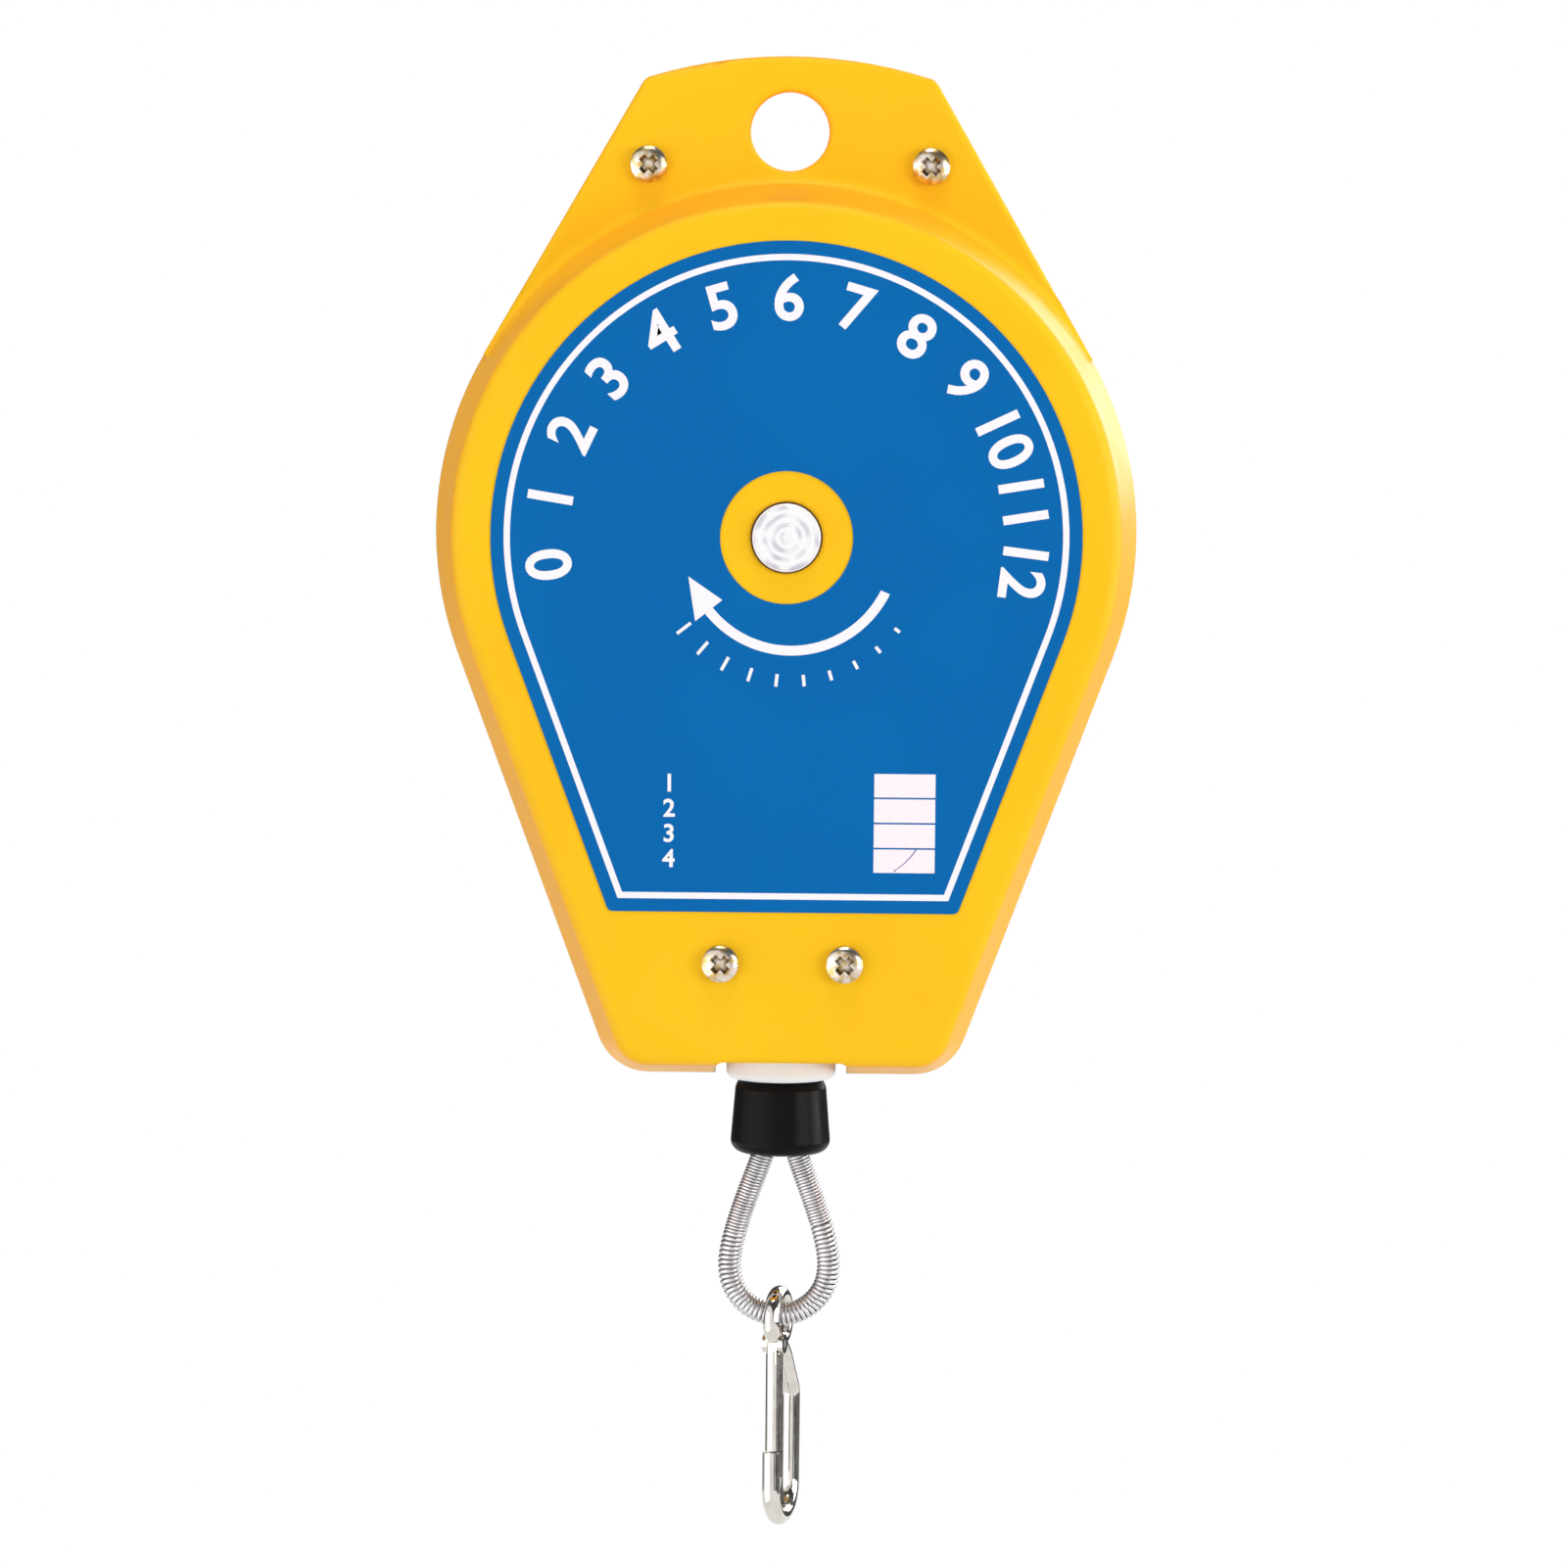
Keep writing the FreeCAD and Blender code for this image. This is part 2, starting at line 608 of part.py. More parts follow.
def rope_drum():
    inner = DRUM_HALF - DRUM_FLANGE_T
    core_r = ROPE_PITCH_R - 0.2
    lid_seat = DRUM_HALF - LID_T - SEAT_GAP
    body = revolved([
        (DRUM_BUSH_R, -DRUM_HALF), (DRUM_FLANGE_R, -DRUM_HALF), (DRUM_FLANGE_R, -inner),
        (core_r, -inner), (core_r, inner), (DRUM_FLANGE_R, inner), (DRUM_FLANGE_R, DRUM_HALF),
        (LID_R + FIT, DRUM_HALF), (LID_R + FIT, lid_seat), (SPRING_CAVITY_R, lid_seat),
        (SPRING_CAVITY_R, -inner), (HUB_R, -inner), (HUB_R, -DRUM_HALF + HUB_DEPTH),
        (DRUM_BUSH_R, -DRUM_HALF + HUB_DEPTH),
    ])
    slot_reach = SPRING_CAVITY_R + TAB_LENGTH + FIT
    tab_slot = box(
        at(SPRING_CAVITY_R - 1, -SPRING_SLOT / 2, -STRIP_HALF_WIDTH - FIT),
        at(slot_reach, SPRING_SLOT / 2, STRIP_HALF_WIDTH + FIT),
    )
    pilots = [
        rod(place, place - Y_AXIS * (LID_SCREW_LENGTH + FIT), LID_SCREW_R + SEAT_GAP)
        for place in lid_screw_places()
    ]
    start = wrap_places()[0]
    pocket = rod(
        polar(ROPE_PITCH_R, ANCHOR_ANGLE, start),
        polar(anchor_top_r() - ANCHOR_LENGTH - SEAT_GAP, ANCHOR_ANGLE, start), ANCHOR_R + SEAT_GAP,
    )
    return body.cut([wrap_rings(ROPE_R + FIT), tab_slot, pocket] + pilots)


def anchor_top_r():
    return ROPE_PITCH_R - ROPE_R - 2 * FIT


def rope_anchor():
    """The stop pressed on the inner end of the rope, in its pocket under the first turn."""
    start = wrap_places()[0]
    top = polar(anchor_top_r(), ANCHOR_ANGLE, start)
    return rod(top, polar(anchor_top_r() - ANCHOR_LENGTH, ANCHOR_ANGLE, start), ANCHOR_R)


def drum_lid():
    lid = revolved([
        (DRUM_BUSH_R, DRUM_HALF), (LID_R, DRUM_HALF), (LID_R, DRUM_HALF - LID_T),
        (HUB_R, DRUM_HALF - LID_T), (HUB_R, DRUM_HALF - HUB_DEPTH), (DRUM_BUSH_R, DRUM_HALF - HUB_DEPTH),
    ])
    return lid.cut([lid_screw_body(place, SEAT_GAP) for place in lid_screw_places()])


def lid_screw_body(place, extra):
    """A countersunk screw flush with the lid, or the hole for it when extra is added all round."""
    sink = LID_SCREW_HEAD_R - LID_SCREW_R
    head = Part.makeCone(LID_SCREW_HEAD_R + extra, LID_SCREW_R + extra, sink, place, -Y_AXIS)
    return head.fuse(rod(place, place - Y_AXIS * LID_SCREW_LENGTH, LID_SCREW_R + extra)).removeSplitter()


def lid_screw(place):
    body = lid_screw_body(place, 0.0)
    half = Vector(LID_SCREW_HEAD_R, 0, LID_SLOT / 2)
    return body.cut(box(place - half - Y_AXIS * LID_SLOT, place + half + Y_AXIS))


def drum_bush(direction):
    inner = SPINDLE_BODY_R + RUNNING
    outer = DRUM_BUSH_R - SEAT_GAP
    return tube(
        at(0, 0, direction * DRUM_HALF), at(0, 0, direction * (DRUM_HALF - HUB_DEPTH)), outer, inner,
    )


def coil_side(offset, y):
    """One side of the coiled strip: half circles, each larger than the last by half the coil spacing."""
    arcs = []
    start = COIL_START_R
    for half in range(2 * COIL_TURNS):
        radius = start + COIL_SPACING / 4
        side = 1 if half % 2 == 0 else -1
        centre = at(-side * COIL_SPACING / 4, 0, y)
        reach = X_AXIS * (side * (radius + offset))
        top = centre + Z_AXIS * (side * (radius + offset))
        arcs.append(Part.Arc(centre + reach, top, centre - reach).toShape())
        start += COIL_SPACING / 2
    return arcs


def power_spring():
    """Flat spiral spring: its inner tab is in the spindle's slot, its outer tab in the drum's."""
    y = -STRIP_HALF_WIDTH
    inner = coil_side(-STRIP_T / 2, y)
    outer = coil_side(STRIP_T / 2, y)
    inner_end = inner[0].Vertexes[0].Point
    outer_end = inner[-1].Vertexes[1].Point
    ends = [
        Part.LineSegment(inner_end, outer[0].Vertexes[0].Point).toShape(),
        Part.LineSegment(outer_end, outer[-1].Vertexes[1].Point).toShape(),
    ]
    wire = Part.Wire(Part.__sortEdges__(inner + outer + ends))
    strip = Part.Face(wire).extrude(Vector(0, 2 * STRIP_HALF_WIDTH, 0))
    coil_end = COIL_START_R + COIL_SPACING * COIL_TURNS
    tabs = [
        box(at(low, -STRIP_T / 2, -STRIP_HALF_WIDTH), at(high, STRIP_T / 2, STRIP_HALF_WIDTH))
        for low, high in (
            (SPINDLE_BODY_R - TAB_LENGTH, COIL_START_R), (coil_end, SPRING_CAVITY_R + TAB_LENGTH),
        )
    ]
    return strip.fuse(tabs).removeSplitter()


# ---------------------------------------------------------------- spindle, ratchet wheel and pawl
def wheel_front():
    return COVER_DEPTH + WHEEL_GAP


def clip_front():
    return wheel_front() + WHEEL_T + WASHER_T + 2 * SEAT_GAP


def spindle():
    front = -COVER_DEPTH - SPINDLE_PROUD
    shoulder = BUSH_INNER_END - SEAT_GAP
    body = revolved([
        (0, front), (JOURNAL_R - SPINDLE_CHAMFER, front), (JOURNAL_R, front + SPINDLE_CHAMFER),
        (JOURNAL_R, -shoulder), (SPINDLE_BODY_R, -shoulder), (SPINDLE_BODY_R, shoulder),
        (JOURNAL_R, shoulder), (JOURNAL_R, HEX_START), (0, HEX_START),
    ])
    hex_end = prism(hexagon(HEX_AF, at(0, 0), HEX_START), HEX_END)
    groove = tube(
        at(0, 0, clip_front() - SEAT_GAP), at(0, 0, clip_front() + CLIP_T + SEAT_GAP), HEX_AF, CLIP_GROOVE_R,
    )
    slot = box(
        at(SPINDLE_BODY_R - TAB_LENGTH - FIT, -SPRING_SLOT / 2, -STRIP_HALF_WIDTH - FIT),
        at(SPINDLE_BODY_R + 1, SPRING_SLOT / 2, STRIP_HALF_WIDTH + FIT),
    )
    return body.fuse(hex_end).cut([groove, slot]).removeSplitter()


def ratchet_wheel():
    """Twelve saw teeth: the steep sides face left at the top, so the wheel only turns clockwise."""
    y = wheel_front()
    step = 360 / TEETH
    points = []
    for k in range(TEETH):
        points.append(polar(TOOTH_TIP_R, 90 + step * k, y))
        points.append(polar(TOOTH_ROOT_R, 90 + step * k, y))
    wheel = prism(polygon(points), y + WHEEL_T)
    return wheel.cut(prism(hexagon(HEX_AF + 2 * SEAT_GAP, at(0, 0), y - 1), y + WHEEL_T + 1))


def wheel_washer():
    y = wheel_front() + WHEEL_T + SEAT_GAP
    return tube(at(0, 0, y), at(0, 0, y + WASHER_T), WASHER_R, HEX_AF / math.sqrt(3) + SEAT_GAP)


def wheel_clip():
    """Retaining ring, open on one side, in the groove of the hexagon."""
    y = clip_front()
    ring = tube(at(0, 0, y), at(0, 0, y + CLIP_T), CLIP_R, CLIP_GROOVE_R + SEAT_GAP)
    half = CLIP_OPENING / 2
    return ring.cut(box(at(-half, -CLIP_R - 1, y - 1), at(half, 0, y + CLIP_T + 1)))


def pawl():
    """Arm on the pivot pin, with a thumb pad behind it; its nose follows the lift of one tooth."""
    y = wheel_front()
    pivot = at(PAWL_PIVOT[0], PAWL_PIVOT[1], y)
    rise = NOSE_RISE / NOSE_SPAN
    underside = [
        polar(NOSE_BOTTOM + rise * a, 90 + math.degrees(NOSE_GAP / NOSE_BOTTOM) + a, y)
        for a in range(0, NOSE_SPAN + 1, NOSE_STEP)
    ]
    nose_tip = at(underside[0].x - SPINDLE_ORIGIN.x, NOSE_TOP, y)
    top_foot = pivot + Vector(0.25, 0, 0.968) * PAWL_EYE_R
    low_foot = pivot + Vector(0.1, 0, -0.995) * PAWL_EYE_R
    arm = prism(polygon([nose_tip, top_foot, pivot, low_foot] + underside[::-1]), y + PAWL_T)
    eye = rod(pivot, pivot + Y_AXIS * PAWL_T, PAWL_EYE_R)
    pad_middle = pivot - X_AXIS * TAIL_REACH
    pad = rod(pad_middle, pad_middle + Y_AXIS * PAWL_T, TAIL_PAD_R)
    half = Z_AXIS * (TAIL_NECK / 2)
    neck = prism(polygon([pivot - half, pivot + half, pad_middle + half, pad_middle - half]), y + PAWL_T)
    return arm.fuse([eye, neck, pad]).cut(rod(pivot - Y_AXIS, pivot + Y_AXIS * (PAWL_T + 1), PAWL_PIN_R + RUNNING)).removeSplitter()


def shoulder_pin(place, shoulder_r, head_r):
    """Screw with a plain shoulder that stands on the rear cover, with a slotted head."""
    x, z = place
    shoulder_end = wheel_front() + PAWL_T + PIN_PLAY
    head_end = shoulder_end + PIN_HEAD_T
    parts = [
        rod(at(x, z, COVER_DEPTH - PIN_THREAD_LENGTH), at(x, z, COVER_DEPTH), PIN_THREAD_R),
        rod(at(x, z, COVER_DEPTH), at(x, z, shoulder_end), shoulder_r),
        rod(at(x, z, shoulder_end), at(x, z, head_end), head_r),
    ]
    slot = box(at(x - head_r, z - LID_SLOT, head_end - LID_SLOT), at(x + head_r, z + LID_SLOT, head_end + 1))
    return fused(*parts).cut(slot)


def pawl_leaf():
    """Leaf spring rolled round its post and resting on the back of the pawl."""
    low = wheel_front() + LEAF_INSET
    high = wheel_front() + PAWL_T - LEAF_INSET
    x, z = LEAF_POST
    inner = LEAF_POST_R + SEAT_GAP
    roll = tube(at(x, z, low), at(x, z, high), inner + LEAF_T, inner)
    foot = at(x, z - inner - LEAF_T / 2, low)
    bend = at(LEAF_BEND[0], LEAF_BEND[1], low)
    tip = at(LEAF_TIP[0], LEAF_TIP[1], low)
    line = [foot, bend, tip]
    up = Z_AXIS * (LEAF_T / 2)
    strip = prism(polygon([p + up for p in line] + [p - up for p in line[::-1]]), high)
    return roll.fuse(strip).removeSplitter()


# ---------------------------------------------------------------- rope end
def run_corner():
    """Where the vertical rope and the line to the drum would meet, and the lean of that line."""
    below = SPINDLE_Z - BEND_Z
    lean = 0.0
    for _ in range(8):
        lean = math.asin(ROPE_PITCH_R / (below - BEND_R * math.tan(lean / 2)))
    return Vector(0, 0, BEND_Z + BEND_R * math.tan(lean / 2)), math.degrees(lean)


def rope_run():
    """The rope from the drum to the guide, inside the case."""
    corner, lean = run_corner()
    beside = wrap_places()[-1] + RUN_ASIDE
    leave = polar(ROPE_PITCH_R, 180 + lean, beside)
    along = Vector(math.sin(math.radians(lean)), 0, -math.cos(math.radians(lean)))
    clear = leave + along * RUN_STRAIGHT
    route = [leave + along * FIT, clear, corner, Vector(0, 0, RUN_END_Z)]
    return swept(rounded_path(route, [turn_radii(route)[0], BEND_R]), ROPE_R)


def rope_wraps():
    """The turns on the drum; the last one stops where the rope leaves for the guide."""
    lean = run_corner()[1]
    last = wrap_places()[-1]
    disc = Part.Face(Part.Wire(Part.Circle(at(ROPE_PITCH_R, 0, last), Z_AXIS, ROPE_R + FIT).toShape()))
    gone = turned_face(disc, at(0, 0), -Y_AXIS, 180 + lean, LAST_TURN_GAP)
    return wrap_rings(ROPE_R).cut(gone)


def rope_payout():
    """The rope between the guide and the ferrule; it lengthens as the rope is drawn out."""
    return rod(Vector(0, 0, RUN_END_Z), Vector(0, 0, ferrule_top() - PAYOUT_DEPTH), ROPE_R)


def ferrule_top():
    return STOP_TOP_Z - (STOP_H - STOP_CAVITY_H) - SEAT_GAP


def rubber_stop():
    top = STOP_TOP_Z
    body = revolved([
        (ROPE_R + FIT, top), (STOP_TOP_R, top), (STOP_SHOULDER_R, top - STOP_SHOULDER_H),
        (STOP_BOTTOM_R, top - STOP_SIDE_H), (STOP_BOTTOM_R, top - STOP_H), (STOP_CAVITY_R, top - STOP_H),
        (STOP_CAVITY_R, top - STOP_H + STOP_CAVITY_H), (ROPE_R + FIT, top - STOP_H + STOP_CAVITY_H),
    ], Vector(0, 0, 0), Z_AXIS)
    body = round_rims(body, STOP_TOP_ROUND, [(STOP_TOP_R, top)], Z_AXIS)
    return round_rims(body, STOP_H - STOP_SIDE_H, [(STOP_BOTTOM_R, top - STOP_H)], Z_AXIS)


def rope_ferrule():
    """Pressed sleeve that closes the loop: one rope enters above, two legs leave below."""
    top = ferrule_top()
    half = LEG_SPACING / 2
    low = top - FERRULE_LENGTH
    legs = [rod(Vector(x, 0, low), Vector(x, 0, top), FERRULE_R) for x in (-half, half)]
    middle = box(Vector(-half, -FERRULE_R, low), Vector(half, FERRULE_R, top))
    bores = [
        rod(Vector(x, 0, low - 1), Vector(x, 0, leg_start() + SEAT_GAP), ROPE_R + SEAT_GAP)
        for x in (-half, half)
    ]
    upper = rod(Vector(0, 0, top + 1), Vector(0, 0, top - PAYOUT_DEPTH - SEAT_GAP), ROPE_R + SEAT_GAP)
    return fused(middle, *legs).cut(bores + [upper])


def leg_start():
    return ferrule_top() - FERRULE_LENGTH + LEG_DEPTH


def loop_route():
    """Corner points of the rope loop, from one leg's end in the ferrule to the other's."""
    half = LEG_SPACING / 2
    centre = at(0, -LOOP_CENTRE)
    first = Vector(half, 0, leg_start())
    neck = at(half, -LEG_TOP)
    knee = at(half + (KNEE - LEG_TOP) * math.tan(math.radians(LOOP_LEAN)), -KNEE)
    away = knee - centre
    distance = away.Length
    lower_lean = math.asin(LOOP_R / distance) - math.atan2(away.x, away.z)
    turn = (math.pi + 2 * lower_lean) / LOOP_CORNERS
    corner_r = LOOP_R / math.cos(turn / 2)
    corners = []
    for k in range(LOOP_CORNERS):
        a = lower_lean - turn / 2 - turn * k
        corners.append(centre + Vector(math.cos(a), 0, math.sin(a)) * corner_r)
    return [first, neck, knee] + corners + [mirrored(knee), mirrored(neck), mirrored(first)]


def rope_loop():
    route = loop_route()
    return swept(rounded_path(route, turn_radii(route)), ROPE_R)


def loop_sheath():
    """Close-wound spring over the loop, drawn as a tube."""
    route = loop_route()
    radii = turn_radii(route)[1:-1]
    along = (route[2] - route[1]).normalize()
    top = route[1] + along * ((SHEATH_TOP - LEG_TOP) / -along.z)
    sheathed = [top] + route[2:-2] + [mirrored(top)]
    outer = swept(rounded_path(sheathed, radii), SHEATH_R)
    return outer.cut(swept(rounded_path(sheathed, radii), SHEATH_BORE_R))


# ---------------------------------------------------------------- snap hook
def hook_at(across, below, aside=0.0):
    """A point of the hook: across its plane to the rear, below its top, and aside of its plane."""
    turn = math.radians(HOOK_TURN)
    plane = Vector(math.sin(turn), math.cos(turn), 0)
    side = Vector(math.cos(turn), -math.sin(turn), 0)
    top = at(0, -LOOP_CENTRE - LOOP_R - EYE_DROP + EYE_R + EYE_WIRE_R)
    return top + plane * across + side * aside - Z_AXIS * below


def hook_side():
    return hook_at(0, 0, 1) - hook_at(0, 0, 0)


def slab(across, below, aside):
    """A block of the hook given by its limits across, below and aside."""
    low = hook_at(across[0], below[1], aside[0])
    across_dir = (hook_at(1, 0) - hook_at(0, 0)) * (across[1] - across[0])
    aside_dir = hook_side() * (aside[1] - aside[0])
    up = Z_AXIS * (below[1] - below[0])
    base = polygon([low, low + across_dir, low + across_dir + aside_dir, low + aside_dir])
    return Part.Face(base).extrude(up)


def pivot_rod(radius, half_length):
    return rod(
        hook_at(GATE_X, GATE_PIVOT, -half_length), hook_at(GATE_X, GATE_PIVOT, half_length), radius,
    )


def snap_hook():
    eye_centre = hook_at(0, EYE_R + EYE_WIRE_R)
    eye = Part.makeTorus(EYE_R, EYE_WIRE_R, eye_centre, hook_side())
    bottom = HOOK_LENGTH - HOOK_WIRE_R
    bow_r = (SPINE_X - NOSE_X) / 2
    route = [
        hook_at(0, 2 * EYE_R + EYE_WIRE_R), hook_at(NECK_X, NECK_BOTTOM), hook_at(SPINE_X, SHOULDER),
        hook_at(SPINE_X, bottom), hook_at(NOSE_X, bottom), hook_at(NOSE_X, NOSE_START),
    ]
    limb = swept(rounded_path(route, [NECK_BEND_R, NECK_BEND_R, bow_r * 0.998, bow_r * 0.998]), HOOK_WIRE_R)
    body = fused(eye, limb, pivot_rod(FORK_R, FORK_HALF))
    tongue_room = rod(
        hook_at(GATE_X, GATE_PIVOT, -FORK_SLOT / 2), hook_at(GATE_X, GATE_PIVOT, FORK_SLOT / 2),
        FORK_R + HOOK_PLAY,
    )
    swing_room = slab((GATE_X - GATE_R, GATE_X + 2 * GATE_R), (GATE_PIVOT, GATE_FLAT_END),
                      (-FORK_SLOT / 2, FORK_SLOT / 2))
    return body.cut([tongue_room, swing_room, pivot_rod(GATE_PIN_R + SEAT_GAP, FORK_HALF + 1)]).removeSplitter()


def gate_pin():
    return pivot_rod(GATE_PIN_R, FORK_HALF)


def hook_gate():
    """Closing bar that turns inwards on the pin and rests against the inside of the nose."""
    bar = rod(hook_at(GATE_X, GATE_PIVOT), hook_at(GATE_X, GATE_END), GATE_R)
    bar = bar.cut(pivot_rod(FORK_R + HOOK_PLAY, 2 * FORK_HALF))
    bar = bar.cut(slab((GATE_X + GATE_FLAT, GATE_X + 3), (GATE_PIVOT, GATE_FLAT_END), (-3, 3)))
    nose_inside = NOSE_X + HOOK_WIRE_R + LAP_GAP
    bar = bar.cut(slab((NOSE_X - 3, nose_inside), (NOSE_START - LAP_GAP, GATE_END + 1), (-3, 3)))
    half = GATE_TONGUE_T / 2
    tongue = slab((GATE_X - TONGUE_R, GATE_X + TONGUE_R), (GATE_PIVOT, GATE_PIVOT + FORK_R + 2), (-half, half))
    eye = pivot_rod(TONGUE_R, half)
    return fused(bar, tongue, eye).cut(pivot_rod(GATE_PIN_R + RUNNING, FORK_HALF)).removeSplitter()


# ---------------------------------------------------------------- everything
def build():
    blank = cover_blank()
    nodes = {
        "front_cover": front_cover(blank),
        "rear_cover": rear_cover(blank),
        "rating_label": rating_label(),
        "front_bush": bush(-1),
        "rear_bush": bush(1),
        "rope_guide": rope_guide(),
        "pawl_pin": shoulder_pin(PAWL_PIVOT, PAWL_PIN_R, PIN_HEAD_R),
        "leaf_post": shoulder_pin(LEAF_POST, LEAF_POST_R, PIN_HEAD_R + 1),
        "pawl_leaf": pawl_leaf(),
        "rope_run": rope_run(),
        "rope_drum": rope_drum(),
        "drum_lid": drum_lid(),
        "drum_bush_front": drum_bush(-1),
        "drum_bush_rear": drum_bush(1),
        "rope_wraps": rope_wraps(),
        "rope_anchor": rope_anchor(),
        "power_spring": power_spring(),
        "spindle": spindle(),
        "ratchet_wheel": ratchet_wheel(),
        "wheel_washer": wheel_washer(),
        "wheel_clip": wheel_clip(),
        "pawl": pawl(),
        "rope_payout": rope_payout(),
        "rope_ferrule": rope_ferrule(),
        "rubber_stop": rubber_stop(),
        "rope_loop": rope_loop(),
        "loop_sheath": loop_sheath(),
        "snap_hook": snap_hook(),
        "gate_pin": gate_pin(),
        "hook_gate": hook_gate(),
    }
    names = ("ear_screw_left", "ear_screw_right", "lower_screw_left", "lower_screw_right")
    for name, (x, z) in zip(names, case_screw_places()):
        nodes[name] = case_screw(x, z)
    for number, place in enumerate(lid_screw_places(), 1):
        nodes["lid_screw_%d" % number] = lid_screw(place)
    return nodes


def main():
    os.makedirs("parts", exist_ok=True)
    for name, shape in build().items():
        shape.Solids[0].exportStep("parts/" + name + ".step")
    print("bends of the rope loop, mm:", [round(r, 2) for r in turn_radii(loop_route())])
    print("bend of the rope at the guide and round the drum, mm:", BEND_R, ROPE_PITCH_R)


main()
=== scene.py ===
"""Looks of a spring balancer for hand tools, laid out as a Blender add-on and run as a script."""
import math

import bmesh
import bpy
from bpy.props import FloatProperty, FloatVectorProperty, IntProperty, PointerProperty
from mathutils import Matrix, Vector


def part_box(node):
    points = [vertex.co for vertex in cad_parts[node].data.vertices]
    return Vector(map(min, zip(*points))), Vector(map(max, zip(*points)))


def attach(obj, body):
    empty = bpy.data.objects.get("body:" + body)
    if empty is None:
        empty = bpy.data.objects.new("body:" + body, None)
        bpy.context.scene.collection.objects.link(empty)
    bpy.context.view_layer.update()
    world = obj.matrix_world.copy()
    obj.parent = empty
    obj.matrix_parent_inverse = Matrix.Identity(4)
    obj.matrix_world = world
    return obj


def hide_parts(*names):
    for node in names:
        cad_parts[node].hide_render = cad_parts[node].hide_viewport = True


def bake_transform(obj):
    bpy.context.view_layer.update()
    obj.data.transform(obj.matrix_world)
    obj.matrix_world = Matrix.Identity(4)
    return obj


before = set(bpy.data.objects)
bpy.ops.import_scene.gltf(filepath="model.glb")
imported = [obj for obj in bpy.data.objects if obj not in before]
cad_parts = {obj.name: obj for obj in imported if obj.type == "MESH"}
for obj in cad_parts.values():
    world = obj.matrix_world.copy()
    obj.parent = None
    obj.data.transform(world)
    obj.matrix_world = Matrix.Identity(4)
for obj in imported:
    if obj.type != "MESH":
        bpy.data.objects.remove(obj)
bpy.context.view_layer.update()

bl_info = {
    "name": "Tool balancer",
    "version": (1, 0, 0),
    "blender": (4, 5, 0),
    "location": "3D View > Sidebar > Balancer",
    "description": "Finishes, label print, rope loop and stage of a spring balancer for hand tools",
    "category": "Object",
}

MM = 0.001
LABEL_LOW, LABEL_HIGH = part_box("rating_label")
SPINDLE_LOW, SPINDLE_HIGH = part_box("spindle")
SHAFT = Vector((0.0, 0.0, (SPINDLE_LOW.z + SPINDLE_HIGH.z) / 2))
FACE_Y = LABEL_LOW.y                     # the printed side of the label
LABEL_ROUND = LABEL_HIGH.z - SHAFT.z     # radius of the label's round top
LABEL_BOTTOM = SHAFT.z - LABEL_LOW.z
SIDE_ANGLE = math.radians(20.5)          # lean of the label's lower sides
STOP_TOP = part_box("rubber_stop")[1].z
CAP_SHARE = 0.73                         # height of a numeral as a share of its type size
NEAR = 0.01 * MM                         # what counts as the same place

# Corner points of the rope loop, the same as the frame's, from one leg's end in the ferrule to the other's.
LOOP_ROUTE = [
    (0.0014, 0, -0.18195), (0.0014, 0, -0.1856), (0.008504, 0, -0.2045), (0.009715, 0, -0.21332),
    (0.006262, 0, -0.218998), (0.0, 0, -0.221223), (-0.006262, 0, -0.218998), (-0.009715, 0, -0.21332),
    (-0.008504, 0, -0.2045), (-0.0014, 0, -0.1856), (-0.0014, 0, -0.18195),
]


def linear(hex_code):
    """Linear RGBA of an sRGB hex value."""
    parts = [int(hex_code[i:i + 2], 16) / 255 for i in (1, 3, 5)]
    return tuple(c / 12.92 if c <= 0.04045 else ((c + 0.055) / 1.055) ** 2.4 for c in parts) + (1.0,)


def colour(name, hex_code, description):
    """A colour that the user can change."""
    return FloatVectorProperty(
        name=name, description=description, subtype="COLOR", size=4, min=0, max=1, default=linear(hex_code),
    )


def power(name, watts, description):
    """The power of a lamp."""
    return FloatProperty(name=name, description=description, default=watts, unit="POWER", min=0)


def length(name, value_mm, description):
    """A length that the user can change, given here in millimetres."""
    return FloatProperty(name=name, description=description, default=value_mm * MM, unit="LENGTH", min=0)


# ---------------------------------------------------------------- sizes and colours
class BalancerFinish(bpy.types.PropertyGroup):
    enamel: colour("Enamel", "#ffc81c", "Colour of the case's baked enamel")
    # Painted shade: the steep walls of the case take this deeper orange in place of the light they lose.
    enamel_deep: colour("Enamel wall shade", "#ffb524", "Colour of the enamel where it runs thick on steep walls")
    paint_edge: length("Paint edge", 1.3, "Radius to which the sprayed enamel rounds the edges")
    peel: length("Orange peel", 1.6, "Distance between the ripples of the sprayed enamel")
    nylon: colour("Nylon", "#f6fbff", "Colour of the rope guide")
    rubber: colour("Rubber", "#0b0b0c", "Colour of the rubber stop")
    turning: length("Turning marks", 1.6, "Distance between the facing marks on the spindle")


